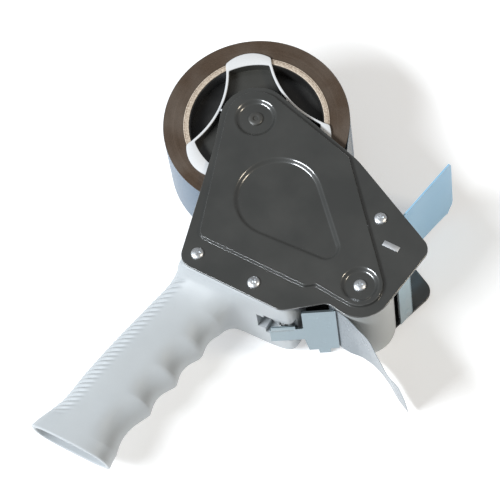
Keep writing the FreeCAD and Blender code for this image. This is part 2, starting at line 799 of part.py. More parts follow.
def pieces():
    return {
        "front_plate": front_plate(),
        "rear_plate": rear_plate(),
        "front_screws": front_screws(),
        "rear_screws": rear_screws(),
        "handle": handle(),
        "spacer_post": threaded_tube(POST_RADIUS, POST_AT),
        "hub_axle": hub_axle(),
        "hub_drum": hub_drum(),
        "core_retainer": core_retainer(),
        "brake_screw": brake_screw(),
        "brake_felt": brake_felt(),
        "brake_spring": brake_spring(),
        "tape_core": tape_core(),
        "tape_roll": tape_roll(),
        "tape_web": tape_web(),
        "tape_tail": tape_tail(),
        "roller_axle": threaded_tube(ROLLER_AXLE, ROLLER_AT),
        "roller_bushes": roller_bushes(),
        "roller_core": roller_core(),
        "roller_sleeve": roller_sleeve(),
        "hold_down_plate": hold_down_plate(),
        "hold_down_pin": hold_down_pin(),
        "hold_down_spring": hold_down_spring(),
        "blade": blade(),
        "blade_rivets": blade_rivets(),
        "blade_holder": blade_holder(),
        "wiper_base": wiper_base(),
        "wiper_flap": wiper_flap(),
        "wiper_clamp": wiper_clamp(),
        "wiper_rivets": wiper_rivets(),
    }


def main():
    os.makedirs("parts", exist_ok=True)
    for name, shape in pieces().items():
        box_of = shape.BoundBox
        print(name, len(shape.Solids), "solids", round(shape.Volume), "mm3", shape.isValid(), box_of)
        shape.exportStep(f"parts/{name}.step")
    print("hinge at", hinge_at(), "wiper turns at", along(WIPER_FROM, wiper_line(), WIPER_CLAMPED))


main()
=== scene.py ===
"""Finished pieces of a pistol-grip tape dispenser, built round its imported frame.

Piece code works in millimetres in the frame's own axes, and Shell.make turns its points into metres.
+Z points out through the front plate, +X to the face that meets the carton, -Y down the handle.
"""

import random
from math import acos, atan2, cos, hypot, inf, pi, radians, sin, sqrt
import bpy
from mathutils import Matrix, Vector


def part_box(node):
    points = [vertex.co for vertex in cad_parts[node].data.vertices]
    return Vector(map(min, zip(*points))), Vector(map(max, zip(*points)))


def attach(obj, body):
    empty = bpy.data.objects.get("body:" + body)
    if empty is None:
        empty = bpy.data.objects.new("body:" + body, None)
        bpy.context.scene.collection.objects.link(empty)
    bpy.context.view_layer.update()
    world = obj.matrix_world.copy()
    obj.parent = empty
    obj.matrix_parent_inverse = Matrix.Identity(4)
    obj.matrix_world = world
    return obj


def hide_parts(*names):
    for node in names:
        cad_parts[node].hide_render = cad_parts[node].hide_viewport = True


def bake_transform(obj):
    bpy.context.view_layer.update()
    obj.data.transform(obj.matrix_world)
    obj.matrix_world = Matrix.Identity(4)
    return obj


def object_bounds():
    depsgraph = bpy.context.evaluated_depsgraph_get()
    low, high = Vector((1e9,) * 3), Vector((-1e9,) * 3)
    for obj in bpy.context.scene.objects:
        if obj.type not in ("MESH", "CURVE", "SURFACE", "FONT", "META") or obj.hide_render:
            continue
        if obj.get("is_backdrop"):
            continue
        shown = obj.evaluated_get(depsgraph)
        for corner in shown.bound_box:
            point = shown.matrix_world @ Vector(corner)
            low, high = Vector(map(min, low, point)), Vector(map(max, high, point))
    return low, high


bl_info = {
    "name": "Tape Dispenser Pieces",
    "version": (1, 0, 0),
    "blender": (4, 5, 0),
    "location": "View3D > Sidebar > Tape Dispenser",
    "description": "Builds the finished pieces of a hand-held tape dispenser round its CAD frame",
    "category": "Object",
}

import bmesh
import bpy
from mathutils import Matrix, Vector
from mathutils.geometry import tessellate_polygon

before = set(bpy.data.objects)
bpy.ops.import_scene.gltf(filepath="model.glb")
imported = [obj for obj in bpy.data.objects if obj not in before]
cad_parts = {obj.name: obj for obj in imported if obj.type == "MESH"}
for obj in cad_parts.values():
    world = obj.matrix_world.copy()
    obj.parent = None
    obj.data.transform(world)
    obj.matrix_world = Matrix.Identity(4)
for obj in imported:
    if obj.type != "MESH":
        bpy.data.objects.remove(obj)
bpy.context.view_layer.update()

MM = 0.001


def span(node):
    """Lowest and highest corner of a CAD node, in millimetres."""
    low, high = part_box(node)
    return low / MM, high / MM


def middle_of(node):
    low, high = span(node)
    return (low + high) / 2


# Heights and places that come from the frame
PLATE_UNDER = span("front_plate")[0].z
PLATE_TOP = span("front_plate")[1].z
BASE = span("rear_plate")[0].z
TOOL_MIDDLE = (BASE + PLATE_TOP) / 2
SHEET = 1.2
RIM_TOP = PLATE_UNDER + SHEET
RIM_BASE = BASE + PLATE_TOP - PLATE_UNDER
ROLLER = middle_of("roller_sleeve")
ROLLER_RADIUS = (span("roller_sleeve")[1].x - span("roller_sleeve")[0].x) / 2
TAPE_LOW = span("tape_roll")[0].z
TAPE_HIGH = span("tape_roll")[1].z
ROLL_RADIUS = span("tape_roll")[1].x
CORE_OUTER = span("tape_core")[1].x
CORE_WALL = 3.1
CORE_BORE = CORE_OUTER - CORE_WALL

# Plate edges as circles that a line runs round: x, y, radius; a negative radius is a hollow corner
EDGE = [
    (0, 0, 20.3),
    (-41.3, -33.9, -30.0),
    (12.4, -87.4, 9.0),
    (66.5, -88.4, 8.0),
    (91.0, -86.0, -5.0),
    (ROLLER.x, ROLLER.y, ROLLER_RADIUS + 1.0),
    (115.6, -31.0, 8.5),
    (43.0, -50.0, 57.0),
]
PANEL = [
    (0, 0, 16.8),
    (11.5, -73.0, 5.0),
    (73.5, -75.0, 3.0),
    (80.0, -77.6, -3.0),
    (ROLLER.x, ROLLER.y, 12.8),
    (55.0, -3.0, 6.0),
]
REAR_EDGE = [
    (0, 0, 20.3),
    (-41.3, -33.9, -30.0),
    (12.4, -87.4, 9.0),
    (50.0, -86.9, 7.2),
    (80.0, -87.0, -6.0),
    (ROLLER.x, ROLLER.y, ROLLER_RADIUS - 4.9),
    (115.6, -31.0, 8.5),
    (43.0, -50.0, 57.0),
]
REAR_PANEL = [
    (0, 0, 16.8),
    (11.5, -73.0, 5.0),
    (68.0, -71.0, 4.0),
    (85.0, -52.0, 5.0),
    (55.0, -3.0, 6.0),
]
DISH = [(35.5, -37.6, 23.5), (73.8, -52.3, 6.7)]
SPINDLE_DISH = 10.6
ROLLER_DISH = 9.4
TAB_X = (99.9, 109.5)
TAB_Y = (-36.4, -33.2)


def shade(red, green, blue):
    """A colour picked on a 0 to 255 screen scale, as linear light."""
    shares = [c / 255 for c in (red, green, blue)]
    return tuple(c / 12.92 if c < 11 / 255 else ((c + 0.055) / 1.055) ** 2.4 for c in shares)


# ---------------------------------------------------------------- settings

def length(label, value, note):
    return bpy.props.FloatProperty(
        name=label, description=note, default=value * MM, unit="LENGTH", precision=5)


def colour(label, value, note):
    return bpy.props.FloatVectorProperty(
        name=label, description=note, default=shade(*value), size=3, subtype="COLOR")


class DispenserSizes(bpy.types.PropertyGroup):
    """Sizes of the details that the finished pieces add to the frame."""

    edge_round: length("Edge Round", 0.45, "Radius on the upper edge of the side plates")
    panel_step: length("Panel Step", 1.0, "Width of the slope round the raised panel")
    dish_step: length("Dish Step", 3.2, "Width of the slope round each dish")
    rib_pitch: length("Rib Pitch", 3.1, "Distance between the ribs on the back of the grip")
    rib_depth: length("Rib Depth", 0.9, "Depth of the lines between the ribs")
    wall: length("Grip Wall", 2.6, "Wall thickness at the open end of the grip")
    film: length("Film", 0.25, "Thickness shown for the tape film")
    tooth_depth: length("Tooth Depth", 1.6, "Height of the blade's teeth")
    lip_round: length("Lip Round", 0.45, "Edge radius on the core retainer")
    teeth: bpy.props.IntProperty(name="Teeth", description="Number of teeth on the blade", default=25, min=3)
    scallop: length("Finger Depth", 3.0, "Depth of the finger hollows in the grip")


class DispenserColours(bpy.types.PropertyGroup):
    """Base colours of the finishes."""

    paint: colour("Plate Paint", (47, 48, 46), "Dark grey enamel on the side plates")
    grip: colour("Grip Plastic", (173, 177, 179), "Pale grey moulded plastic")
    retainer: colour("Retainer Plastic", (214, 215, 216), "White moulded plastic")
    drum: colour("Drum Plastic", (24, 24, 24), "Black moulded plastic")
    board: colour("Cardboard", (112, 90, 70), "Cardboard core")
    side: colour("Tape Side", (58, 45, 32), "Edge of the wound tape")
    # Blue-grey painted reflection of bluish light on the brown tape's glossy outer face
    film: colour("Tape Film", (96, 112, 128), "Glossy outer face of the wound tape")
    rubber: colour("Roller Rubber", (186, 188, 186), "Grey roller sleeve")
    chrome: colour("Chrome", (138, 152, 158), "Bright plated steel")
    wiper: colour("Wiper Film", (146, 194, 224), "Milky blue plastic film")


# ---------------------------------------------------------------- outlines

def on_circle(centre, radius, angle):
    return centre[0] + radius * cos(angle), centre[1] + radius * sin(angle)


def belt(circles, grow=0.0, steps=14):
    """Points on the closed line that runs anticlockwise round the circles, moved outwards by grow."""
    headings = []
    for (x, y, r), (x2, y2, r2) in zip(circles, circles[1:] + circles[:1]):
        headings.append(atan2(y2 - y, x2 - x) - acos((r - r2) / hypot(x2 - x, y2 - y)))
    points = []
    for i, (x, y, r) in enumerate(circles):
        came, leaves = headings[i - 1], headings[i]
        sweep = (leaves - came) % (2 * pi)
        if r < 0:
            sweep -= 2 * pi
        points += [on_circle((x, y), r + grow, came + sweep * k / steps) for k in range(steps + 1)]
    return points


def circle(radius, count=64, at=(0, 0)):
    return [on_circle(at, radius, 2 * pi * i / count) for i in range(count)]


def lift(points, z):
    return [(p[0], p[1], z) for p in points]


def smooth(value):
    value = min(max(value, 0.0), 1.0)
    return value * value * (3 - 2 * value)


def between(rows, at):
    """The values of a table of rows, read at a place in its first column by a smooth curve."""
    if at <= rows[0][0]:
        return rows[0][1:]
    for i, (low, high) in enumerate(zip(rows, rows[1:])):
        if at <= high[0]:
            before, after = rows[max(i - 1, 0)], rows[min(i + 2, len(rows) - 1)]
            gap = high[0] - low[0]
            t = (at - low[0]) / gap
            values = []
            for k in range(1, len(low)):
                m1 = (high[k] - before[k]) / (high[0] - before[0]) * gap
                m2 = (after[k] - low[k]) / (after[0] - low[0]) * gap
                a, b = low[k], high[k]
                cubic, square = 2 * a + m1 - 2 * b + m2, 3 * b - 3 * a - 2 * m1 - m2
                values.append(cubic * t ** 3 + square * t * t + m1 * t + a)
            return tuple(values)
    return rows[-1][1:]


# ---------------------------------------------------------------- meshes

CREASE = 35.0        # faces that meet at more than this many degrees keep a hard line
MERGE = 1e-7         # metres, for points made here
CAD_MERGE = 1e-6     # metres, for points from the frame
FLAT_WITHIN = 1.0    # degrees


class Shell:
    """Points and faces of one closed piece, in millimetres."""

    def __init__(self):
        self.points = []
        self.faces = []

    def ring(self, points):
        start = len(self.points)
        self.points += [Vector(p) for p in points]
        return list(range(start, len(self.points)))

    def skin(self, first, second):
        for i in range(len(first)):
            j = (i + 1) % len(first)
            self.faces.append((first[i], first[j], second[j], second[i]))

    def skins(self, rings):
        for first, second in zip(rings, rings[1:]):
            self.skin(first, second)

    def cap(self, ring, holes=()):
        loops = [ring, *holes]
        order = [i for loop in loops for i in loop]
        for triangle in tessellate_polygon([[self.points[i] for i in loop] for loop in loops]):
            self.faces.append(tuple(order[i] for i in triangle))

    def tube(self, rings):
        """Joins the rings one to the next and closes both ends."""
        self.skins(rings)
        self.cap(rings[0])
        self.cap(rings[-1])

    def make(self, name, material, crease=CREASE):
        mesh = bpy.data.meshes.new(name)
        mesh.from_pydata([p * MM for p in self.points], [], self.faces)
        tidy_mesh(mesh)
        return show(name, mesh, material, crease)


def tidy_mesh(mesh):
    """Merges doubled points, drops empty faces and turns every face outwards."""
    shape = bmesh.new()
    shape.from_mesh(mesh)
    bmesh.ops.remove_doubles(shape, verts=shape.verts, dist=MERGE)
    bmesh.ops.dissolve_degenerate(shape, edges=shape.edges, dist=MERGE)
    bmesh.ops.recalc_face_normals(shape, faces=shape.faces)
    shape.to_mesh(mesh)
    shape.free()


def new_object(name, data):
    """A new object, linked into the scene."""
    made = bpy.data.objects.new(name, data)
    bpy.context.scene.collection.objects.link(made)
    return made


def crease_at(mesh, crease=CREASE):
    """Shades a mesh smooth, with hard lines where its faces meet at more than crease degrees."""
    mesh.shade_smooth()
    mesh.set_sharp_from_angle(angle=radians(crease))


def show(name, mesh, material, crease=CREASE):
    piece = new_object(name, mesh)
    mesh.materials.clear()
    mesh.materials.append(material)
    crease_at(mesh, crease)
    return piece


def settle(piece):
    """Turns a piece with its modifiers into a plain mesh."""
    bpy.context.view_layer.update()
    graph = bpy.context.evaluated_depsgraph_get()
    mesh = bpy.data.meshes.new_from_object(piece.evaluated_get(graph))
    piece.modifiers.clear()
    piece.data = mesh
    mesh.name = piece.name
    return piece


def soft_edges(piece, width):
    bevel = piece.modifiers.new("edges", "BEVEL")
    bevel.width = width * MM
    bevel.segments = 2
    bevel.limit_method = "ANGLE"
    bevel.angle_limit = radians(CREASE)
    bevel.use_clamp_overlap = True
    settle(piece)
    crease_at(piece.data)
    return piece


def cut(piece, *tools):
    for tool in tools:
        knife = piece.modifiers.new("cut", "BOOLEAN")
        knife.operation = "DIFFERENCE"
        knife.solver = "EXACT"
        knife.object = tool
    settle(piece)
    for tool in tools:
        bpy.data.objects.remove(tool)
    return piece


def turned(profile, at=(0, 0), count=96):
    """A closed piece turned on a vertical axis from a closed profile of (radius, height)."""
    shell = Shell()
    rings = [shell.ring(lift(circle(r, count, at), z)) for r, z in profile if r > 0]
    shell.skins(rings)
    if profile[0][0] > 0 and profile[-1][0] > 0:
        shell.skin(rings[-1], rings[0])
    else:
        for end, ring in ((profile[0], rings[0]), (profile[-1], rings[-1])):
            if end[0] == 0:
                shell.cap(ring)
    return shell


def rounded(corners, radius, steps=4):
    """A closed profile whose corners are rounded by the given radii."""
    points = []
    count = len(corners)
    for i, here in enumerate(corners):
        size = radius[i] if isinstance(radius, (list, tuple)) else radius
        if size == 0:
            points.append(here)
            continue
        before, here, after = Vector(corners[i - 1]), Vector(here), Vector(corners[(i + 1) % count])
        start = here + (before - here).normalized() * size
        end = here + (after - here).normalized() * size
        for k in range(steps + 1):
            t = k / steps
            points.append(tuple(start * (1 - t) ** 2 + here * 2 * t * (1 - t) + end * t * t))
    return points


def slab(outline, origin, across, along, thick, name, material, edge):
    """A flat piece: an outline of (across, along) laid on two directions, thickened to their left."""
    across, along = Vector(across), Vector(along)
    out = across.cross(along) * thick
    flat = [Vector(origin) + across * u + along * v for u, v in outline]
    shell = Shell()
    shell.tube([shell.ring(flat), shell.ring([p + out for p in flat])])
    piece = shell.make(name, material)
    return soft_edges(piece, edge) if edge else piece


def block(low, high, name, material):
    corners = [(low[0], low[1]), (high[0], low[1]), (high[0], high[1]), (low[0], high[1])]
    shell = Shell()
    shell.tube([shell.ring(lift(corners, z)) for z in (low[2], high[2])])
    return shell.make(name, material)


def merged(pieces):
    """One object from several, which keeps the first one's name and material."""
    whole = bmesh.new()
    for piece in pieces:
        whole.from_mesh(piece.data)
    whole.to_mesh(pieces[0].data)
    whole.free()
    for piece in pieces[1:]:
        bpy.data.objects.remove(piece)
    crease_at(pieces[0].data)
    return pieces[0]


def fit(piece, body, slot, *nodes):
    """Says which body a piece rides on and hides the CAD nodes that it stands for. The slot is not used."""
    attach(piece, body)
    if nodes:
        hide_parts(*nodes)
    return piece


def softened(node, body, slot, material, width=0.2):
    """A CAD node's own shape with its sharp edges rounded."""
    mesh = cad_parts[node].data.copy()
    shape = bmesh.new()
    shape.from_mesh(mesh)
    bmesh.ops.remove_doubles(shape, verts=shape.verts, dist=CAD_MERGE)
    bmesh.ops.dissolve_limit(
        shape, angle_limit=radians(FLAT_WITHIN), verts=shape.verts, edges=shape.edges)
    shape.to_mesh(mesh)
    shape.free()
    piece = soft_edges(show(node + "_finished", mesh, material), width)
    return fit(piece, body, slot, node)


def coat_node(node, material):
    """Gives a CAD node that stays as it is a better material."""
    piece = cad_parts[node]
    for slot in piece.material_slots:
        slot.material = material


def solid_places(node, reach=12.0):
    """The middle of each separate solid of a CAD node, seen along Z, in millimetres."""
    groups = []
    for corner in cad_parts[node].data.vertices:
        point = corner.co / MM
        for group in groups:
            if hypot(point.x - group[0].x, point.y - group[0].y) < reach:
                group.append(point)
                break
        else:
            groups.append([point])
    places = []
    for group in groups:
        xs, ys, zs = zip(*group)
        places.append([(min(v) + max(v)) / 2 for v in (xs, ys, zs)])
    return places


# ---------------------------------------------------------------- geometry nodes

FLOAT, VECTOR, INTEGER = "NodeSocketFloat", "NodeSocketVector", "NodeSocketInt"
COLOUR = "NodeSocketColor"


def new_tree(name, inputs):
    """A geometry tree with named inputs, whose last steps realize instances and set the material."""
    tree = bpy.data.node_groups.new(name, "GeometryNodeTree")
    face = tree.interface
    face.new_socket("Geometry", in_out="INPUT", socket_type="NodeSocketGeometry")
    for label, kind, value in inputs:
        socket = face.new_socket(label, in_out="INPUT", socket_type=kind)
        if value is not None:
            socket.default_value = value
    face.new_socket("Material", in_out="INPUT", socket_type="NodeSocketMaterial")
    face.new_socket("Geometry", in_out="OUTPUT", socket_type="NodeSocketGeometry")
    source = tree.nodes.new("NodeGroupInput")
    real = tree.nodes.new("GeometryNodeRealizeInstances")
    paint = tree.nodes.new("GeometryNodeSetMaterial")
    end = tree.nodes.new("NodeGroupOutput")
    tree.links.new(real.outputs[0], paint.inputs["Geometry"])
    tree.links.new(source.outputs["Material"], paint.inputs["Material"])
    tree.links.new(paint.outputs[0], end.inputs[0])
    return tree, source, real


def node(tree, kind, links=(), **settings):
    """Adds a node. Links are (input, socket); settings are its own values."""
    made = tree.nodes.new(kind)
    for key, value in settings.items():
        setattr(made, key, value)
    for place, socket in links:
        tree.links.new(socket, made.inputs[place])
    return made


def math(tree, operation, first, second=None):
    made = tree.nodes.new("ShaderNodeMath")
    made.operation = operation
    for place, value in enumerate((first, second)):
        if value is None:
            continue
        if isinstance(value, (int, float)):
            made.inputs[place].default_value = value
        else:
            tree.links.new(value, made.inputs[place])
    return made.outputs[0]


def product(tree, first, *others):
    for other in others:
        first = math(tree, "MULTIPLY", first, other)
    return first


def named(tree, kind, name):
    """Reads a named attribute of the points."""
    made = node(tree, "GeometryNodeInputNamedAttribute", data_type=kind)
    made.inputs["Name"].default_value = name
    return made.outputs[0]


def copies_tree():
    """Puts a copy of a piece on every point, turned as its point says, with a seeded twist."""
    found = bpy.data.node_groups.get("place_copies")
    if found:
        return found
    inputs = [("Piece", "NodeSocketObject", None), ("Twist", FLOAT, 0.0), ("Seed", INTEGER, 1)]
    tree, source, real = new_tree("place_copies", inputs)
    shape = node(tree, "GeometryNodeObjectInfo", [("Object", source.outputs["Piece"])])
    facing = named(tree, "FLOAT_VECTOR", "facing")
    twist = node(tree, "FunctionNodeRandomValue", data_type="FLOAT")
    tree.links.new(source.outputs["Seed"], twist.inputs["Seed"])
    tree.links.new(math(tree, "MULTIPLY", source.outputs["Twist"], -1.0), twist.inputs[2])
    tree.links.new(source.outputs["Twist"], twist.inputs[3])
    spin = node(tree, "ShaderNodeCombineXYZ", [("Z", twist.outputs[1])])
    turn = node(tree, "ShaderNodeVectorMath", [(0, facing), (1, spin.outputs[0])], operation="ADD")
    links = [
        ("Points", source.outputs["Geometry"]),
        ("Instance", shape.outputs["Geometry"]),
        ("Rotation", turn.outputs[0]),
    ]
    spread = node(tree, "GeometryNodeInstanceOnPoints", links)
    tree.links.new(spread.outputs[0], real.inputs[0])
    return tree


def run_tree(piece, tree, values):
    """Runs a geometry tree on a piece with its inputs set, and keeps the result as a plain mesh."""
    modifier = piece.modifiers.new(tree.name, "NODES")
    modifier.node_group = tree
    for item in tree.interface.items_tree:
        if item.in_out == "INPUT" and item.name in values:
            modifier[item.identifier] = values[item.name]
    settle(piece)
    crease_at(piece.data)
    return piece


def copies(name, piece, places, material, facing=(0, 0, 0), twist=0.0, seed=1):
    """One object with a copy of a piece at each place. The loose piece is used up."""
    mesh = bpy.data.meshes.new(name)
    mesh.from_pydata([Vector(p) * MM for p in places], [], [])
    mark = mesh.attributes.new("facing", "FLOAT_VECTOR", "POINT")
    mark.data.foreach_set("vector", list(facing) * len(places))
    whole = new_object(name, mesh)
    values = {"Piece": piece, "Twist": twist, "Seed": seed, "Material": material}
    run_tree(whole, copies_tree(), values)
    bpy.data.objects.remove(piece)
    return whole


RIB_LEAN = 0.3         # rise of a rib for each step along X
RIB_SHARPNESS = 4.0


def ribs_tree():
    """Presses evenly spaced lines into the part of a surface that carries the rib mark."""
    inputs = [
        ("Pitch", FLOAT, 0.003), ("Depth", FLOAT, 0.0004), ("First", FLOAT, -0.1), ("Last", FLOAT, -0.2)]
    tree, source, real = new_tree("press_ribs", inputs)
    where = node(tree, "GeometryNodeInputPosition")
    parts = node(tree, "ShaderNodeSeparateXYZ", [(0, where.outputs[0])])
    down = math(tree, "SUBTRACT", source.outputs["First"], parts.outputs["Y"])
    lean = math(tree, "MULTIPLY", parts.outputs["X"], RIB_LEAN)
    phase = math(tree, "DIVIDE", math(tree, "ADD", down, lean), source.outputs["Pitch"])
    wave = math(tree, "ABSOLUTE", math(tree, "COSINE", math(tree, "MULTIPLY", phase, pi)))
    line = math(tree, "POWER", wave, RIB_SHARPNESS)
    begun = math(tree, "GREATER_THAN", down, 0.0)
    ended = math(tree, "GREATER_THAN", parts.outputs["Y"], source.outputs["Last"])
    strength = product(tree, begun, ended, named(tree, "FLOAT", "rib_mark"))
    depth = product(tree, line, strength, source.outputs["Depth"])
    normal = node(tree, "GeometryNodeInputNormal")
    inward = node(tree, "ShaderNodeVectorMath", [(0, normal.outputs[0])], operation="SCALE")
    tree.links.new(math(tree, "MULTIPLY", depth, -1.0), inward.inputs["Scale"])
    links = [("Geometry", source.outputs["Geometry"]), ("Offset", inward.outputs[0])]
    moved = node(tree, "GeometryNodeSetPosition", links)
    tree.links.new(moved.outputs[0], real.inputs[0])
    return tree


def coil_tree():
    """A round wire wound round a vertical axis, with a straight leg at its foot."""
    inputs = [
        ("Turns", FLOAT, 4.0),
        ("Radius", FLOAT, 0.002),
        ("Wire", FLOAT, 0.0004),
        ("Height", FLOAT, 0.004),
        ("Leg", FLOAT, 0.007),
        ("At", VECTOR, (0, 0, 0)),
    ]
    tree, source, real = new_tree("wind_coil", inputs)
    spiral = node(tree, "GeometryNodeCurveSpiral")
    spiral.inputs["Resolution"].default_value = 24
    tree.links.new(source.outputs["Turns"], spiral.inputs["Rotations"])
    for name in ("Start Radius", "End Radius"):
        tree.links.new(source.outputs["Radius"], spiral.inputs[name])
    tree.links.new(source.outputs["Height"], spiral.inputs["Height"])
    foot = node(tree, "ShaderNodeCombineXYZ", [("X", source.outputs["Radius"])])
    tip = node(tree, "ShaderNodeCombineXYZ", [("X", source.outputs["Radius"])])
    tree.links.new(math(tree, "MULTIPLY", source.outputs["Leg"], -1.0), tip.inputs["Y"])
    leg = node(tree, "GeometryNodeCurvePrimitiveLine", [("Start", foot.outputs[0]), ("End", tip.outputs[0])])
    both = node(tree, "GeometryNodeJoinGeometry", [(0, spiral.outputs[0]), (0, leg.outputs[0])])
    section = node(tree, "GeometryNodeCurvePrimitiveCircle")
    section.inputs["Resolution"].default_value = 12
    tree.links.new(source.outputs["Wire"], section.inputs["Radius"])
    links = [("Curve", both.outputs[0]), ("Profile Curve", section.outputs[0])]
    tube = node(tree, "GeometryNodeCurveToMesh", links)
    tube.inputs["Fill Caps"].default_value = True
    links = [("Geometry", tube.outputs[0]), ("Translation", source.outputs["At"])]
    placed = node(tree, "GeometryNodeTransform", links)
    tree.links.new(placed.outputs[0], real.inputs[0])
    return tree


# ---------------------------------------------------------------- finishes

def new_group(name, inputs, *outputs):
    group = bpy.data.node_groups.new(name, "ShaderNodeTree")
    for label, kind, value in inputs:
        socket = group.interface.new_socket(label, in_out="INPUT", socket_type=kind)
        socket.default_value = value
    for label in outputs:
        kind = COLOUR if label == "Colour" else FLOAT
        group.interface.new_socket(label, in_out="OUTPUT", socket_type=kind)
    return group, group.nodes.new("NodeGroupInput"), group.nodes.new("NodeGroupOutput")


def noise(tree, vector, scale, detail=3.0):
    made = tree.nodes.new("ShaderNodeTexNoise")
    made.inputs["Detail"].default_value = detail
    if isinstance(scale, (int, float)):
        made.inputs["Scale"].default_value = scale
    else:
        tree.links.new(scale, made.inputs["Scale"])
    tree.links.new(vector, made.inputs["Vector"])
    return made.outputs["Fac"]


def ranged(tree, value, low, high, to_low=0.0, to_high=1.0):
    made = tree.nodes.new("ShaderNodeMapRange")
    for place, number in enumerate((low, high, to_low, to_high), start=1):
        made.inputs[place].default_value = number
    tree.links.new(value, made.inputs[0])
    return made.outputs[0]


def mixed(tree, factor, first, second):
    made = tree.nodes.new("ShaderNodeMix")
    made.data_type = "RGBA"
    tree.links.new(factor, made.inputs["Factor"])
    for place, value in ((6, first), (7, second)):
        if isinstance(value, tuple):
            made.inputs[place].default_value = (*value, 1.0)
        else:
            tree.links.new(value, made.inputs[place])
    return made.outputs[2]


def grain_group():
    """Uneven colour and gloss, and a fine relief, on coordinates that can be stretched."""
    inputs = [
        ("Colour", COLOUR, (0.5, 0.5, 0.5, 1)), ("Contrast", FLOAT, 0.1), ("Scale", FLOAT, 2000.0),
        ("Stretch", VECTOR, (1, 1, 1)), ("Roughness", FLOAT, 0.4), ("Spread", FLOAT, 0.1),
    ]
    group, start, end = new_group("surface_grain", inputs, "Colour", "Roughness", "Height")
    place = group.nodes.new("ShaderNodeTexCoord")
    links = [(0, place.outputs["Object"]), (1, start.outputs["Stretch"])]
    stretched = node(group, "ShaderNodeVectorMath", links, operation="MULTIPLY").outputs[0]
    fine = noise(group, stretched, start.outputs["Scale"])
    broad = noise(group, stretched, math(group, "DIVIDE", start.outputs["Scale"], 18.0))
    both = math(group, "ADD", math(group, "MULTIPLY", fine, 0.4), math(group, "MULTIPLY", broad, 0.6))
    swing = math(group, "SUBTRACT", both, 0.5)
    value = math(group, "ADD", product(group, swing, 3.0, start.outputs["Contrast"]), 1.0)
    tint = node(group, "ShaderNodeHueSaturation", [("Color", start.outputs["Colour"]), ("Value", value)])
    gloss = product(group, swing, 3.0, start.outputs["Spread"])
    group.links.new(tint.outputs[0], end.inputs["Colour"])
    group.links.new(math(group, "ADD", start.outputs["Roughness"], gloss), end.inputs["Roughness"])
    group.links.new(fine, end.inputs["Height"])
    return group


def wear_group():
    """Rubbed outer edges: a worn colour and gloss where the surface is sharply convex."""
    inputs = [
        ("Colour", COLOUR, (0.5, 0.5, 0.5, 1)), ("Worn Colour", COLOUR, (0.8, 0.8, 0.8, 1)),
        ("Roughness", FLOAT, 0.4), ("Worn Roughness", FLOAT, 0.3), ("Amount", FLOAT, 0.3),
    ]
    group, start, end = new_group("edge_wear", inputs, "Colour", "Roughness", "Mask")
    shape = group.nodes.new("ShaderNodeNewGeometry")
    place = group.nodes.new("ShaderNodeTexCoord")
    edge = ranged(group, shape.outputs["Pointiness"], 0.52, 0.62)
    patches = ranged(group, noise(group, place.outputs["Object"], 420.0, 5.0), 0.42, 0.66)
    mask = product(group, edge, patches, start.outputs["Amount"])
    mixed_colour = mixed(group, mask, start.outputs["Colour"], start.outputs["Worn Colour"])
    change = math(group, "SUBTRACT", start.outputs["Worn Roughness"], start.outputs["Roughness"])
    rough = math(group, "ADD", start.outputs["Roughness"], math(group, "MULTIPLY", change, mask))
    group.links.new(mixed_colour, end.inputs["Colour"])
    group.links.new(rough, end.inputs["Roughness"])
    group.links.new(mask, end.inputs["Mask"])
    return group


def dust_group():
    """Thin dust and handling marks in soft patches, more on faces that look up."""
    inputs = [
        ("Colour", COLOUR, (0.5, 0.5, 0.5, 1)), ("Dust Colour", COLOUR, (0.6, 0.57, 0.52, 1)),
        ("Roughness", FLOAT, 0.4), ("Amount", FLOAT, 0.1),
    ]
    group, start, end = new_group("thin_dust", inputs, "Colour", "Roughness")
    shape = group.nodes.new("ShaderNodeNewGeometry")
    place = group.nodes.new("ShaderNodeTexCoord")
    parts = node(group, "ShaderNodeSeparateXYZ", [(0, shape.outputs["Normal"])])
    upward = ranged(group, parts.outputs["Z"], -0.2, 1.0, 0.35, 1.0)
    patches = ranged(group, noise(group, place.outputs["Object"], 38.0, 6.0), 0.38, 0.72)
    mask = product(group, upward, patches, start.outputs["Amount"])
    dusty = mixed(group, mask, start.outputs["Colour"], start.outputs["Dust Colour"])
    group.links.new(dusty, end.inputs["Colour"])
    rough = math(group, "ADD", start.outputs["Roughness"], product(group, mask, 0.5))
    group.links.new(rough, end.inputs["Roughness"])
    return group


def rings_group():
    """Fine rings round the spindle axis, as on the edge of wound tape or board."""
    inputs = [
        ("Colour", COLOUR, (0.3, 0.25, 0.2, 1)), ("Light Colour", COLOUR, (0.5, 0.4, 0.3, 1)),
        ("Rings", FLOAT, 2600.0), ("Specks", FLOAT, 1500.0), ("Contrast", FLOAT, 0.5),
    ]
    group, start, end = new_group("wound_rings", inputs, "Colour", "Height")
    place = group.nodes.new("ShaderNodeTexCoord")
    flat = node(group, "ShaderNodeVectorMath", [(0, place.outputs["Object"])], operation="MULTIPLY")
    flat.inputs[1].default_value = (1, 1, 0)
    radius = node(group, "ShaderNodeVectorMath", [(0, flat.outputs[0])], operation="LENGTH").outputs["Value"]
    lines = group.nodes.new("ShaderNodeTexNoise")
    lines.noise_dimensions = "1D"
    lines.inputs["Scale"].default_value = 1.0
    lines.inputs["Detail"].default_value = 2.0
    group.links.new(math(group, "MULTIPLY", radius, start.outputs["Rings"]), lines.inputs["W"])
    specks = noise(group, place.outputs["Object"], start.outputs["Specks"], 4.0)
    both = math(group, "ADD", product(group, lines.outputs["Fac"], 0.55), product(group, specks, 0.45))
    factor = product(group, ranged(group, both, 0.36, 0.64), start.outputs["Contrast"])
    ringed = mixed(group, factor, start.outputs["Colour"], start.outputs["Light Colour"])
    group.links.new(ringed, end.inputs["Colour"])
    group.links.new(both, end.inputs["Height"])
    return group


def group_named(name):
    makers = {
        "surface_grain": grain_group, "edge_wear": wear_group,
        "thin_dust": dust_group, "wound_rings": rings_group,
    }
    return bpy.data.node_groups.get(name) or makers[name]()


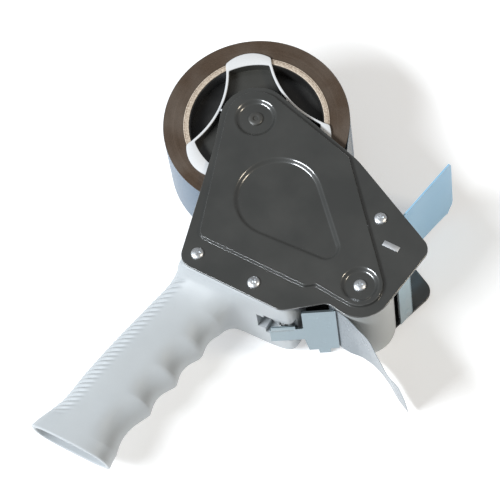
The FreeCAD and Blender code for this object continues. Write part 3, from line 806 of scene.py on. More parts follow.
def add_group(tree, name, values, links=()):
    made = tree.nodes.new("ShaderNodeGroup")
    made.node_tree = group_named(name)
    for label, value in values.items():
        made.inputs[label].default_value = (*value, 1.0) if label.endswith("Colour") else value
    for label, socket in links:
        tree.links.new(socket, made.inputs[label])
    return made


EVEN = (1, 1, 1)
BARE_METAL = 0.35    # painted or moulded wear that is glossier than this shows bare metal


def passed_on(layer):
    """Links that hand one layer's colour and roughness to the next."""
    return [(label, layer.outputs[label]) for label in ("Colour", "Roughness")]


def finish(name, base, rough, metal=0.0, grain=(0.08, 2500.0, EVEN), spread=0.06, relief=0.02,
           worn=None, worn_rough=0.3, wear=0.0, dust=0.06, rings=None, **sockets):
    """A material: grain or rings, then worn edges, then dust, all on one principled shader."""
    name += "_finish"
    found = bpy.data.materials.get(name)
    if found:
        return found
    material = bpy.data.materials.new(name)
    material.use_nodes = True
    tree = material.node_tree
    shader = tree.nodes["Principled BSDF"]
    shader.inputs["Metallic"].default_value = metal
    for label, value in sockets.items():
        shader.inputs[label.replace("_", " ")].default_value = value
    values = dict(zip(("Contrast", "Scale", "Stretch"), grain), Roughness=rough, Spread=spread)
    links = []
    height = None
    if rings:
        ring_values = dict(zip(("Light Colour", "Rings", "Specks", "Contrast"), rings), Colour=base)
        ringed = add_group(tree, "wound_rings", ring_values)
        links = [("Colour", ringed.outputs["Colour"])]
        height = ringed.outputs["Height"]
    else:
        values["Colour"] = base
    layer = add_group(tree, "surface_grain", values, links)
    height = height or layer.outputs["Height"]
    if wear:
        marks = {"Worn Colour": worn, "Worn Roughness": worn_rough, "Amount": wear}
        layer = add_group(tree, "edge_wear", marks, passed_on(layer))
        if metal == 0.0 and worn_rough < BARE_METAL:
            tree.links.new(layer.outputs["Mask"], shader.inputs["Metallic"])
    layer = add_group(tree, "thin_dust", {"Amount": dust}, passed_on(layer))
    tree.links.new(layer.outputs["Colour"], shader.inputs["Base Color"])
    tree.links.new(layer.outputs["Roughness"], shader.inputs["Roughness"])
    bump = tree.nodes.new("ShaderNodeBump")
    bump.inputs["Strength"].default_value = 0.5
    bump.inputs["Distance"].default_value = relief * MM
    tree.links.new(height, bump.inputs["Height"])
    tree.links.new(bump.outputs["Normal"], shader.inputs["Normal"])
    return material


def colours():
    return bpy.context.scene.dispenser_colours


def sizes():
    return bpy.context.scene.dispenser_sizes


def mm(name):
    return getattr(sizes(), name) / MM


def brushed(base, rough, stretch=EVEN):
    """The settings of a brushed metal."""
    return dict(base=base, rough=rough, metal=1.0, grain=(0.12, 2600.0, stretch), spread=0.16, dust=0.05)


# A base that is a word is one of the panel's colours. Names with a capital are sockets of the shader
FINISHES = {
    "plate_paint": dict(
        base="paint", rough=0.34, grain=(0.03, 1600.0, EVEN), spread=0.05, dust=0.025,
        Coat_Weight=1.0, Coat_Roughness=0.1, Coat_IOR=1.8),
    "grip_plastic": dict(
        base="grip", rough=0.46, grain=(0.03, 1900.0, EVEN), spread=0.08, relief=0.05,
        worn=shade(208, 211, 212), worn_rough=0.4, wear=0.3, dust=0.03, Specular_IOR_Level=0.45,
        Subsurface_Weight=0.08, Subsurface_Radius=(0.6, 0.6, 0.6), Subsurface_Scale=0.002),
    "retainer_plastic": dict(
        base="retainer", rough=0.38, grain=(0.03, 1900.0, EVEN), dust=0.08,
        Subsurface_Weight=0.1, Subsurface_Radius=(0.6, 0.6, 0.6), Subsurface_Scale=0.001),
    "drum_plastic": dict(base="drum", rough=0.42, grain=(0.2, 1500.0, EVEN), relief=0.03, dust=0.05),
    # Dark grey painted shade for the inward walls of the white collar and for its web
    "liner_plastic": dict(
        base=shade(56, 56, 53), rough=0.34, grain=(0.2, 1500.0, EVEN), relief=0.01, dust=0.02,
        Coat_Weight=0.5, Coat_Roughness=0.1),
    "cardboard": dict(
        base="board", rough=0.85, grain=(0.12, 1400.0, EVEN), relief=0.08, dust=0.05,
        rings=(shade(222, 208, 190), 1500.0, 1000.0, 1.0)),
    "tape_side": dict(
        base="side", rough=0.5, grain=(0.1, 900.0, EVEN), relief=0.06, dust=0.08,
        rings=(shade(96, 78, 64), 3400.0, 1500.0, 0.55), Coat_Weight=0.08, Coat_Roughness=0.3),
    # Its blue-grey base is a painted reflection on the brown tape
    "tape_film": dict(
        base="film", rough=0.3, grain=(0.04, 500.0, (1, 1, 0.2)), spread=0.04, relief=0.01, dust=0.02,
        Specular_IOR_Level=0.12),
    # The free end's grey-blue base is the brown tape with a painted bluish reflection
    "free_tape": dict(
        base=shade(122, 129, 134), rough=0.26, grain=(0.05, 300.0, (1, 1, 0.3)), dust=0.03,
        Specular_IOR_Level=0.2),
    "roller_rubber": dict(
        base="rubber", rough=0.55, grain=(0.06, 1500.0, EVEN), relief=0.05,
        worn=shade(214, 212, 206), worn_rough=0.5, wear=0.6, dust=0.15),
    "bright_chrome": dict(
        base="chrome", rough=0.24, metal=1.0, grain=(0.04, 2200.0, EVEN), spread=0.08, relief=0.01,
        dust=0.04),
    "blade_steel": brushed(shade(150, 168, 174), 0.3, (1, 1, 0.05)),
    "screw_steel": brushed(shade(240, 243, 246), 0.36),
    "zinc_steel": brushed(shade(200, 202, 204), 0.32),
    "spring_steel": brushed(shade(150, 150, 148), 0.3),
    "holder_metal": brushed(shade(232, 234, 236), 0.5, (0.1, 1, 1)),
    "spindle_paint": dict(
        base=shade(58, 58, 56), rough=0.34, grain=(0.15, 1500.0, EVEN), spread=0.12, relief=0.05,
        worn=shade(150, 148, 142), worn_rough=0.32, wear=0.5, Coat_Weight=0.3, Coat_Roughness=0.2),
    "bush_plastic": dict(base=shade(228, 226, 218), rough=0.4, dust=0.05),
    "felt": dict(
        base=shade(84, 82, 78), rough=0.95, grain=(0.4, 1800.0, EVEN), relief=0.3, Sheen_Weight=0.5),
    "wiper_film": dict(
        base="wiper", rough=0.34, grain=(0.03, 260.0, (1, 0.3, 1)), dust=0.04,
        Coat_Weight=0.3, Coat_Roughness=0.2,
        Subsurface_Weight=0.2, Subsurface_Radius=(0.8, 0.9, 1.0), Subsurface_Scale=0.001),
    "floor": dict(
        base=(0.8, 0.8, 0.8), rough=0.8, grain=(0.01, 60.0, EVEN), dust=0.0,
        Emission_Color=(1.0, 1.0, 1.0, 1.0), Emission_Strength=0.4, Specular_IOR_Level=0.2),
}


def look(name):
    """One of the finishes as a material."""
    settings = dict(FINISHES[name])
    if isinstance(settings["base"], str):
        settings["base"] = tuple(getattr(colours(), settings["base"]))
    return finish(name, **settings)


# ---------------------------------------------------------------- side plates

def step_line(foot, head, low, high, steps=10):
    """Offsets and heights down a pressed slope, with a narrow flat at each end."""
    flat = 0.25 if foot > head else -0.25
    rows = [(foot + flat, low)]
    for k in range(steps + 1):
        rows.append((foot + (head - foot) * k / steps, low + (high - low) * smooth(k / steps)))
    return rows + [(head - flat, high)]


def tab_hole(grow):
    x, y = (TAB_X[0] - grow, TAB_X[1] + grow), (TAB_Y[0] - grow, TAB_Y[1] + grow)
    return [(x[0], y[0]), (x[1], y[0]), (x[1], y[1]), (x[0], y[1])]


def spindle_dish(grow):
    return circle(SPINDLE_DISH + grow)


def roller_dish(grow):
    return circle(ROLLER_DISH + grow, at=ROLLER)


def long_dish(grow):
    return belt(DISH, grow, 40)


RIM_FLAT = 0.3         # between the rounded edge and the face's outer ring
UNDER_SHIFT = 0.5      # how far the slopes of the under face are moved
BEND_STEPS = 4


def plate_face(shell, sink, shift, edge, panel, dishes):
    """One face of the pressed plate. Returns its outer ring and the ring of the tab's hole."""
    low, high = RIM_TOP - sink, PLATE_TOP - sink
    rim = shell.ring(lift(belt(edge, -mm("edge_round") - RIM_FLAT), low))
    half = mm("panel_step") / 2
    slope = [shell.ring(lift(belt(panel, g - shift), z)) for g, z in step_line(half, -half, low, high)]
    hole = shell.ring(lift(tab_hole(0.2), low))
    shell.cap(rim, [slope[0], hole])
    shell.skins(slope)
    half = mm("dish_step") / 2
    tops = []
    for outline in dishes:
        rings = [shell.ring(lift(outline(g + shift), z)) for g, z in step_line(-half, half, low, high)]
        shell.cap(rings[0])
        shell.skins(rings)
        tops.append(rings[-1])
    shell.cap(slope[-1], tops)
    return rim, hole


def pressed_plate(name, edge, panel, dishes, rear=False):
    shell = Shell()
    top, top_hole = plate_face(shell, 0.0, 0.0, edge, panel, dishes)
    under, under_hole = plate_face(shell, SHEET, UNDER_SHIFT, edge, panel, dishes)
    bend = mm("edge_round")
    rings = [top]
    for k in range(BEND_STEPS + 1):
        turn = pi / 2 * k / BEND_STEPS
        rings.append(shell.ring(lift(belt(edge, bend * (sin(turn) - 1)), RIM_TOP - bend * (1 - cos(turn)))))
    rings.append(shell.ring(lift(belt(edge, 0), PLATE_UNDER + 0.2)))
    rings.append(shell.ring(lift(belt(edge, -0.2), PLATE_UNDER)))
    rings.append(under)
    shell.skins(rings)
    shell.skin(top_hole, under_hole)
    if rear:
        for point in shell.points:
            point.z = 2 * TOOL_MIDDLE - point.z
    return shell.make(name, look("plate_paint"), 50)


class DISPENSER_OT_plates(bpy.types.Operator):
    """Presses the two side plates with their raised panel and dishes"""

    bl_idname = "dispenser.plates"
    bl_label = "Side Plates"

    def execute(self, context):
        front = pressed_plate("front_side_plate", EDGE, PANEL, [spindle_dish, roller_dish, long_dish])
        fit(front, "frame", "plate_paint", "front_plate")
        rear = pressed_plate("rear_side_plate", REAR_EDGE, REAR_PANEL, [spindle_dish, long_dish], True)
        fit(rear, "frame", "plate_paint", "rear_plate")
        return {"FINISHED"}


# ---------------------------------------------------------------- screws, rivets, spindle

def cross_tool(top, reach, wide, deep):
    """The tapered cross that is pressed into a screw's head."""
    pieces = []
    for turn in (0, pi / 2):
        shell = Shell()
        rings = []
        for share, z in ((1.0, top + 0.6), (0.5, top - deep)):
            half, side = reach * share, wide / 2 * (0.6 + 0.4 * share)
            corners = [(-half, -side), (half, -side), (half, side), (-half, side)]
            spun = [(x * cos(turn) - y * sin(turn), x * sin(turn) + y * cos(turn), z) for x, y in corners]
            rings.append(shell.ring(spun))
        shell.tube(rings)
        pieces.append(shell.make(f"cross_{len(pieces)}", look("zinc_steel")))
    return pieces


def loose_screw():
    """A pan head with a pressed cross, on a washer face, and its shank; the seat is at height zero."""
    head_high, radius, shank, skirt = 1.9, 3.5, 12.0, 0.55
    angles = [radians(degrees) for degrees in range(0, 90, 9)]
    dome = [(radius * cos(a), skirt + (head_high - skirt) * sin(a)) for a in angles]
    profile = [(0, -shank), (1.6, -shank), (2.0, -shank + 0.5), (2.0, -0.02)]
    profile += [(radius - 0.1, -0.02), (radius, 0.1)]
    shell = turned(profile + dome + [(0.2, head_high), (0, head_high)], count=48)
    screw = shell.make("loose_screw", look("screw_steel"))
    return cut(screw, *cross_tool(head_high, 2.3, 1.0, 1.25))


def place_screws(name, nodes_name, seat, facing):
    places = [(x, y, seat) for x, y, _ in solid_places(nodes_name)]
    piece = copies(name, loose_screw(), places, look("screw_steel"), facing, twist=1.2, seed=7)
    fit(piece, "frame", "zinc_steel", nodes_name)


class DISPENSER_OT_screws(bpy.types.Operator):
    """Puts a pan-head cross screw at each fixing of both plates"""

    bl_idname = "dispenser.screws"
    bl_label = "Plate Screws"

    def execute(self, context):
        place_screws("front_plate_screws", "front_screws", RIM_TOP, (0, 0, 0))
        place_screws("rear_plate_screws", "rear_screws", 2 * TOOL_MIDDLE - RIM_TOP, (pi, 0, 0))
        return {"FINISHED"}


class DISPENSER_OT_spindle(bpy.types.Operator):
    """Turns the riveted spindle and dresses the brake and the posts"""

    bl_idname = "dispenser.spindle"
    bl_label = "Spindle And Brake"

    def execute(self, context):
        body, top = span("hub_axle")[1].x, span("hub_axle")[1].z
        bore, bore_end, neck, head, dent = 3.05, RIM_BASE + 14.0, 3.5, 4.2, 0.7
        profile = [
            (0, bore_end), (bore, bore_end), (bore, RIM_BASE), (body - 0.3, RIM_BASE), (body, RIM_BASE + 0.3),
            (body, PLATE_UNDER), (neck, PLATE_UNDER), (neck, RIM_TOP), (head, RIM_TOP), (head, RIM_TOP + 0.4),
            (head - 0.25, RIM_TOP + 0.9), (head - 0.9, top - 0.12), (head - 1.6, top), (2.0, top),
            (1.6, top - 0.15), (1.2, top - dent), (0, top - dent),
        ]
        axle = turned(profile, count=64).make("spindle", look("spindle_paint"), 30)
        fit(axle, "frame", "spindle_paint", "hub_axle")
        softened("brake_screw", "brake", "zinc_steel", look("zinc_steel"), 0.25)
        coat_node("brake_felt", look("felt"))
        coat_node("brake_spring", look("spring_steel"))
        coat_node("spacer_post", look("zinc_steel"))
        coat_node("roller_axle", look("zinc_steel"))
        return {"FINISHED"}


# ---------------------------------------------------------------- handle

# Outline of the handle, going down: depth below the spindle, back, front, half thickness, squareness
GRIP = [
    (78.0, 6.0, 73.3, 26.8, 12.0),
    (80.0, 4.6, 74.4, 26.8, 12.0),
    (88.0, 3.6, 75.0, 26.8, 12.0),
    (93.0, 3.7, 74.7, 26.8, 11.0),
    (95.0, 3.8, 73.5, 26.8, 10.0),
    (96.0, 3.8, 71.6, 26.7, 9.0),
    (96.6, 3.8, 68.0, 26.5, 8.0),
    (97.0, 3.8, 61.0, 26.2, 7.0),
    (97.5, 3.7, 52.5, 25.4, 5.6),
    (98.8, 3.3, 46.0, 24.0, 4.6),
    (101.0, 2.6, 42.2, 22.0, 3.8),
    (105.0, 1.4, 39.4, 19.8, 3.2),
    (110.4, -0.4, 37.9, 17.9, 2.8),
    (117.0, -2.6, 37.0, 16.6, 2.6),
    (128.5, -5.6, 35.9, 15.6, 2.5),
    (149.5, -10.4, 32.3, 15.0, 2.5),
    (171.0, -14.3, 28.3, 15.0, 2.5),
    (188.3, -16.6, 25.2, 15.0, 2.5),
    (197.0, -19.6, 24.0, 15.2, 2.6),
    (204.6, -22.8, 23.7, 15.5, 2.7),
    (209.5, -24.3, 24.3, 15.7, 2.8),
]
# Finger hollows: middle, reach, share of the full depth
FINGERS = [(119.5, 8.5, 0.55), (139.8, 10.2, 1.0), (161.4, 10.4, 1.0), (187.0, 15.0, 1.0)]
END_LEAN = 0.14
MOUTH_ROUND = 0.8
HOLLOW_FROM = 114.0             # the grip is hollow below this depth
RIB_ENDS = (-0.0995, -0.2005)   # metres along Y
EARS = (19.6, 41.6)             # the hinge ears leave this height free
SWING_BACK, SWING_FRONT, SWING_UP, SWING_DOWN = 11.0, 20.0, 4.5, -120.0
SLOT = ((53.5, -110.0, 24.0), (62.5, -88.0, 39.0))


def scallop(drop):
    """Depth of the finger hollows at a place down the grip."""
    depth = 0.0
    for middle, reach, share in FINGERS:
        away = (drop - middle) / reach
        if abs(away) < 1:
            depth += mm("scallop") * share * (1 - away * away) ** 1.3
    return depth


def grip_ring(drop, inset=0.0, count=128):
    back, front, half, square = between(GRIP, drop)
    middle, wide, deep = (back + front) / 2, (front - back) / 2 - inset, half - inset
    lean = END_LEAN * smooth((drop - 185.0) / 20.0)
    hollow = scallop(drop)
    points = []
    for i in range(count):
        angle = 2 * pi * i / count
        c, s = cos(angle), sin(angle)
        x = middle + wide * abs(c) ** (2 / square) * (1 if c > 0 else -1)
        z = deep * abs(s) ** (2 / square) * (1 if s > 0 else -1)
        near = smooth((x - middle) / wide * 1.35 - 0.25)
        x -= hollow * near
        z *= 1 - 0.028 * hollow * near * (1 - smooth((x - middle) / wide * 2 - 1.2) * 0.5)
        points.append((x, -drop - lean * z, TOOL_MIDDLE + z))
    return points


def handle_shell():
    shell = Shell()
    first, last = GRIP[0][0], GRIP[-1][0]
    drops = [first]
    while drops[-1] < last - 0.45:
        here = drops[-1]
        drops.append(here + (0.7 if here < 93 else 0.25 if here < 99 else 0.45))
    rings = [shell.ring(grip_ring(d)) for d in drops]
    edge, wall = MOUTH_ROUND, mm("wall")
    for k in range(1, 6):
        turn = pi / 2 * k / 5
        rings.append(shell.ring(grip_ring(last + edge * sin(turn), edge * (1 - cos(turn)))))
    inside = [last + edge, last + edge - 0.2, last + 0.2, last - 0.5]
    insets = [wall - 0.4, wall - 0.1, wall, wall]
    rings += [shell.ring(grip_ring(d, inset)) for d, inset in zip(inside, insets)]
    steps = 40
    for k in range(1, steps + 1):
        rings.append(shell.ring(grip_ring(last - 0.5 - (last - HOLLOW_FROM) * k / steps, wall)))
    shell.tube(rings)
    return shell


def mark_back(piece):
    """Marks how strongly each point of the grip carries the ribs: full on its back edge."""
    mark = piece.data.attributes.new("rib_mark", "FLOAT", "POINT")
    for corner, value in zip(piece.data.vertices, mark.data):
        place = corner.co / MM
        back, front, half, _ = between(GRIP, -place.y)
        share = (place.x - (back + front) / 2) / ((front - back) / 2)
        side = hypot(share, (place.z - TOOL_MIDDLE) / half)
        ends = smooth((-place.y - 100.0) / 3.0) * smooth((201.0 - -place.y) / 6.0)
        value.value = smooth((-share - 0.4) / 0.25) * ends if side > 0.86 else 0.0


class DISPENSER_OT_handle(bpy.types.Operator):
    """Moulds the hollow handle with its finger hollows, ribs, slot and hinge ears"""

    bl_idname = "dispenser.handle"
    bl_label = "Handle"

    def execute(self, context):
        handle = handle_shell().make("grip_handle", look("grip_plastic"), 50)
        mark_back(handle)
        size = sizes()
        values = {
            "Pitch": size.rib_pitch, "Depth": size.rib_depth,
            "First": RIB_ENDS[0], "Last": RIB_ENDS[1], "Material": look("grip_plastic"),
        }
        run_tree(handle, ribs_tree(), values)
        pin = middle_of("hold_down_pin")
        steel = look("zinc_steel")
        low = (pin.x - SWING_BACK, SWING_DOWN, EARS[0])
        high = (pin.x + SWING_FRONT, pin.y + SWING_UP, EARS[1])
        swing = block(low, high, "swing_room", steel)
        slot = block(*SLOT, "slot_room", steel)
        cut(handle, swing, slot)
        handle.data.set_sharp_from_angle(angle=radians(50))
        fit(handle, "frame", "handle_plastic", "handle")
        return {"FINISHED"}


# ---------------------------------------------------------------- hub, retainer, tape

ARM_ANGLES = [radians(6 + 120 * i) for i in range(3)]
HOLLOW_RADIUS = 54.3
HOLLOW_AT = 77.6
LIP_RADIUS = 19.5
LIP_AT = 24.5


def ray_to_circle(angle, centre_angle, distance, radius, far):
    """How far out a ray from the spindle meets a circle, or infinity."""
    along = distance * cos(angle - centre_angle)
    inside = radius ** 2 - (distance * sin(angle - centre_angle)) ** 2
    if inside < 0 or along < 0:
        return inf
    return along + sqrt(inside) if far else along - sqrt(inside)


def least(values, blend=1.2):
    """The least of several radii, with the corner between them rounded."""
    values = sorted(v for v in values if v < inf)
    low, next_low = values[0], values[1] if len(values) > 1 else inf
    if next_low - low >= blend:
        return low
    share = (blend - (next_low - low)) / blend
    return low - share * share * blend / 4


def collar_outline(reach, inset, lips=False, count=540):
    points = []
    for i in range(count):
        angle = 2 * pi * i / count
        hollows = [
            ray_to_circle(angle, arm + pi / 3, HOLLOW_AT, HOLLOW_RADIUS + inset, False) for arm in ARM_ANGLES]
        edge = reach - inset
        if lips and min(hollows) > reach:
            facing = [arm for arm in ARM_ANGLES if cos(angle - arm) > 0.5]
            edge = max(ray_to_circle(angle, arm, LIP_AT, LIP_RADIUS, True) - inset for arm in facing)
        points.append(on_circle((0, 0), least([edge] + hollows), angle))
    return points


def collar():
    low, high = span("core_retainer")
    lip_low = TAPE_HIGH + 0.05
    outer = CORE_BORE - 0.3
    wall, edge = 1.5, mm("lip_round")
    rows = [
        (wall, low.z, False), (wall, high.z - 0.5, False), (wall, high.z - edge, False),
        (wall - 0.15, high.z - 0.12, False), (wall - edge, high.z, False),
        (edge, high.z, True), (0.12, high.z - 0.12, True), (0.0, high.z - edge, True),
        (0.0, lip_low + 0.15, True), (0.15, lip_low, True), (0.05, lip_low - 0.02, False),
        (0.0, low.z, False),
    ]
    shell = Shell()
    rings = [shell.ring(lift(collar_outline(outer, inset, lips), z)) for inset, z, lips in rows]
    shell.skins(rings)
    shell.skin(rings[-1], rings[0])
    piece = shell.make("core_collar", look("retainer_plastic"), 40)
    # The white collar's inward faces below the lip take a dark grey: painted shade in its recesses
    piece.data.materials.append(look("liner_plastic"))
    for face in piece.data.polygons:
        inward = face.normal.x * face.center.x + face.normal.y * face.center.y < 0
        if inward and abs(face.normal.z) < 0.3 and face.center.z < (high.z - 0.5) * MM:
            face.material_index = 1
    return piece


def collar_floor():
    """The web inside the collar, between its walls and the spindle's barrel, in a dark grey that is painted
    shade.
    """
    height = span("core_retainer")[1].z - 7.0
    shell = Shell()
    rings = []
    for z in (height, height + 1.0):
        outer = shell.ring(lift(collar_outline(CORE_BORE - 0.3, 1.3), z))
        inner = shell.ring(lift(circle(8.3, 96), z))
        shell.cap(outer, [inner])
        rings.append((outer, inner))
    shell.skin(rings[0][0], rings[1][0])
    shell.skin(rings[0][1], rings[1][1])
    return shell.make("collar_web", look("liner_plastic"))


def collar_nubs():
    """Small pegs on the inside of each curved wall, near its top."""
    peg = turned(rounded([(0, 0), (0.8, 0), (0.8, 1.6), (0, 1.6)], [0, 0, 0.3, 0]), count=20)
    peg = peg.make("loose_peg", look("retainer_plastic"))
    peg.data.transform(Matrix.Rotation(pi / 2, 4, "Y"))
    top = span("core_retainer")[1].z - 1.1
    pieces = []
    for i, arm in enumerate(ARM_ANGLES):
        angle = arm + pi / 3
        at = on_circle((0, 0), HOLLOW_AT - HOLLOW_RADIUS - 2.9, angle)
        loose = new_object(f"peg_{i}", peg.data.copy())
        pieces.append(copies(f"collar_peg_{i}", loose, [(*at, top)], look("retainer_plastic"), (0, 0, angle)))
    bpy.data.objects.remove(peg)
    return merged(pieces)


class DISPENSER_OT_hub(bpy.types.Operator):
    """Moulds the three-armed core retainer and dresses the drum"""

    bl_idname = "dispenser.hub"
    bl_label = "Hub And Retainer"

    def execute(self, context):
        fit(collar(), "hub", "retainer_plastic", "core_retainer")
        fit(collar_nubs(), "hub", "retainer_plastic")
        fit(collar_floor(), "hub", "drum_plastic")
        inner, outer, top = CORE_BORE - 0.7, CORE_BORE - 0.1, TAPE_HIGH - 0.6
        tube = [(inner, TAPE_LOW), (outer, TAPE_LOW), (outer, top), (inner, top)]
        fit(turned(tube, count=160).make("drum_sleeve", look("drum_plastic")), "hub", "drum_plastic")
        coat_node("hub_drum", look("drum_plastic"))
        return {"FINISHED"}


def wound_roll():
    """The wound tape: a ring whose two sides are not quite level from turn to turn."""
    draw = random.Random(5)
    turns = 16
    step = (ROLL_RADIUS - CORE_OUTER) / turns
    side = [(CORE_OUTER + step * i, draw.uniform(0.0, 0.14)) for i in range(1, turns)]
    low = [(ROLL_RADIUS - 0.25, 0.0)] + side[::-1] + [(CORE_OUTER, 0.0)]
    high = [(CORE_OUTER, 0.0)] + side + [(ROLL_RADIUS - 0.25, 0.0)]
    profile = [(ROLL_RADIUS, TAPE_LOW + 0.3)] + [(r, TAPE_LOW + d) for r, d in low]
    profile += [(r, TAPE_HIGH - d) for r, d in high] + [(ROLL_RADIUS, TAPE_HIGH - 0.3)]
    roll = turned(profile, count=192).make("tape_winding", look("tape_side"), 20)
    roll.data.materials.append(look("tape_film"))
    # The outer faces take the tape film finish, whose blue-grey is painted reflection
    for face in roll.data.polygons:
        if abs(face.normal.z) < 0.3 and hypot(face.center.x, face.center.y) > (ROLL_RADIUS - 0.3) * MM:
            face.material_index = 1
    return roll


def board_core():
    edge = 0.35
    corners = [(CORE_BORE, TAPE_LOW), (CORE_OUTER, TAPE_LOW), (CORE_OUTER, TAPE_HIGH), (CORE_BORE, TAPE_HIGH)]
    return turned(rounded(corners, edge), count=160).make("board_core", look("cardboard"), 25)


# The free end as two edges, going away from the roller: share of its length, x, y
NEAR_EDGE = [
    (0.0, 98.3, -81.4), (0.12, 103.2, -82.4), (0.3, 110.6, -85.2), (0.5, 119.6, -88.6),
    (0.7, 129.0, -95.3), (0.86, 138.2, -101.6), (1.0, 146.7, -105.2),
]
FAR_EDGE = [
    (0.0, 98.3, -81.4), (0.12, 103.0, -81.6), (0.3, 110.0, -81.2), (0.5, 119.6, -83.2),
    (0.7, 130.0, -88.2), (0.86, 139.4, -94.4), (1.0, 147.4, -98.4),
]
LEAVES_ROLLER = 262.0   # degrees round the roller
WRAP_STEPS, WEB_STEPS, FREE_STEPS = 30, 8, 60


def film_lines():
    """Points down the tape from the roll, round the roller and along its free end, one list for each edge."""
    leaves, meets = ROLL_RADIUS + 0.15, ROLLER_RADIUS + 0.45
    reach = hypot(ROLLER.x, ROLLER.y)
    normal = atan2(ROLLER.y, ROLLER.x) + acos((leaves + meets) / reach)
    touch, end = normal + pi, radians(LEAVES_ROLLER)
    (x, y) = on_circle((0, 0), leaves, normal)
    wrap = [on_circle(ROLLER, meets, touch + (end - touch) * i / WRAP_STEPS) for i in range(WRAP_STEPS + 1)]
    far_x, far_y = wrap[0]
    web = [(x + (far_x - x) * i / WEB_STEPS, y + (far_y - y) * i / WEB_STEPS) for i in range(WEB_STEPS)]
    common = web + wrap
    last = Vector(wrap[-1])
    lines = []
    for edge in (NEAR_EDGE, FAR_EDGE):
        free = [Vector(between(edge, i / FREE_STEPS)) for i in range(1, FREE_STEPS + 1)]
        shift = last - Vector(edge[0][1:])
        free = [p + shift * (1 - i / FREE_STEPS) for i, p in enumerate(free)]
        lines.append([Vector(p) for p in common] + free)
    return lines


def film_strip():
    near, far = film_lines()
    across = 16
    shell = Shell()
    rings = []
    half = mm("film") / 2
    for i in range(len(near)):
        before, after = max(i - 1, 0), min(i + 1, len(near) - 1)
        front, back = [], []
        for k in range(across + 1):
            share = k / across
            here = near[i].lerp(far[i], share)
            way = near[after].lerp(far[after], share) - near[before].lerp(far[before], share)
            way.normalize()
            bow = 0.5 * sin(pi * share) * smooth((i - 45) / 40)
            side = Vector((-way.y, way.x))
            z = TAPE_HIGH + (TAPE_LOW - TAPE_HIGH) * share
            front.append((*(here + side * (bow + half)), z))
            back.append((*(here + side * (bow - half)), z))
        rings.append(shell.ring(front + back[::-1]))
    shell.tube(rings)
    return shell.make("tape_strip", look("free_tape"), 60)


class DISPENSER_OT_tape(bpy.types.Operator):
    """Winds the tape on its board core and leads its free end round the roller"""

    bl_idname = "dispenser.tape"
    bl_label = "Tape"

    def execute(self, context):
        fit(wound_roll(), "hub", "tape_side", "tape_roll")
        fit(board_core(), "hub", "cardboard", "tape_core")
        fit(film_strip(), "frame", "tape_film", "tape_web", "tape_tail")
        return {"FINISHED"}


# ---------------------------------------------------------------- roller

class DISPENSER_OT_roller(bpy.types.Operator):
    """Turns the rubber sleeve and softens the roller's core and bushes"""

    bl_idname = "dispenser.roller"
    bl_label = "Pressure Roller"

    def execute(self, context):
        low, high = span("roller_sleeve")
        bore = ROLLER_RADIUS - 5.7
        corners = [(bore, low.z), (ROLLER_RADIUS, low.z), (ROLLER_RADIUS, high.z), (bore, high.z)]
        profile = rounded(corners, [0.3, 1.1, 1.1, 0.3], 5)
        sleeve = turned(profile, (ROLLER.x, ROLLER.y), 128).make("rubber_sleeve", look("roller_rubber"), 40)
        fit(sleeve, "roller", "roller_rubber", "roller_sleeve")
        softened("roller_core", "roller", "drum_plastic", look("drum_plastic"), 0.2)
        softened("roller_bushes", "roller", "bush_plastic", look("bush_plastic"), 0.2)
        return {"FINISHED"}


# ---------------------------------------------------------------- hold-down plate

HOLD_SLOPE = radians(31.4)
HOLD_LENGTH = 18.6
HOLD_THICK = 1.2
ARM_LOW, ARM_HIGH, ARM_LONG = 20.5, 34.5, 18.5
FOOT, TAB_END = 5.6, 0.6
CORNER_STEPS = 5
KNUCKLE = (1.55, 2.5)       # inner and outer radius
PIN_RADIUS, PIN_ENDS = 1.45, (6.0, 54.0)
COIL_TURNS, COIL_RADIUS, COIL_WIRE, COIL_LEG = 4.0, 2.15, 0.45, 2.6


def hold_down_parts(material):
    """The plate with its stepped corner, its arm, the turned-up leaf beside the arm and the knuckle."""
    way = Vector((cos(HOLD_SLOPE), sin(HOLD_SLOPE), 0))
    edge = on_circle(ROLLER, ROLLER_RADIUS + 1.5, radians(253.6))
    origin = Vector((*edge, 0)) - way * HOLD_LENGTH
    top = span("hold_down_plate")[1].z
    steps = []
    pitch = (ARM_LOW - FOOT) / CORNER_STEPS
    for i in range(CORNER_STEPS):
        z = ARM_LOW - pitch * i
        steps += [(0.35 * i, z), (0.35 * i, z - pitch * 0.55), (0.35 * i + 0.9, z - pitch * 0.7)]
    outline = [
        (HOLD_LENGTH, FOOT), (HOLD_LENGTH, top), (0.6, top), (0, top - 0.6), (0, ARM_HIGH + 1.2),
        (-0.8, ARM_HIGH), (-ARM_LONG, ARM_HIGH), (-ARM_LONG, ARM_LOW), *steps, (1.75, FOOT),
        (7.0, FOOT), (7.2, TAB_END + 0.4), (7.6, TAB_END), (13.2, TAB_END), (13.6, TAB_END + 0.4),
        (13.6, FOOT),
    ]
    up = Vector((0, 0, 1))
    plate = slab(outline, origin, way, up, -HOLD_THICK, "tape_hold_down", material, 0)
    side = Vector((-way.y, way.x, 0))
    leaf = [(-17.6, 35.5), (-5.2, 35.5), (-4.2, 36.4), (-4.2, 41.0), (-17.6, 41.0)]
    leaf_origin = origin - side * 1.4
    turned_up = slab(leaf, leaf_origin, way, up, -1.0, "turned_leaf", material, 0.2)
    pin = middle_of("hold_down_pin")
    bore, outer = KNUCKLE
    profile = rounded([(bore, ARM_LOW), (outer, ARM_LOW), (outer, ARM_HIGH), (bore, ARM_HIGH)], 0.25)
    knuckle = turned(profile, (pin.x, pin.y), 40).make("hinge_knuckle", material)
    web = [(0, ARM_LOW + 0.2), (3.0, ARM_LOW + 0.2), (3.0, ARM_HIGH - 0.2), (0, ARM_HIGH - 0.2)]
    web_origin = origin + way * -12.0 + side * 1.0
    bridge = slab(web, web_origin, way, up, -HOLD_THICK, "hinge_bridge", material, 0.1)
    return merged([plate, turned_up, knuckle, bridge])


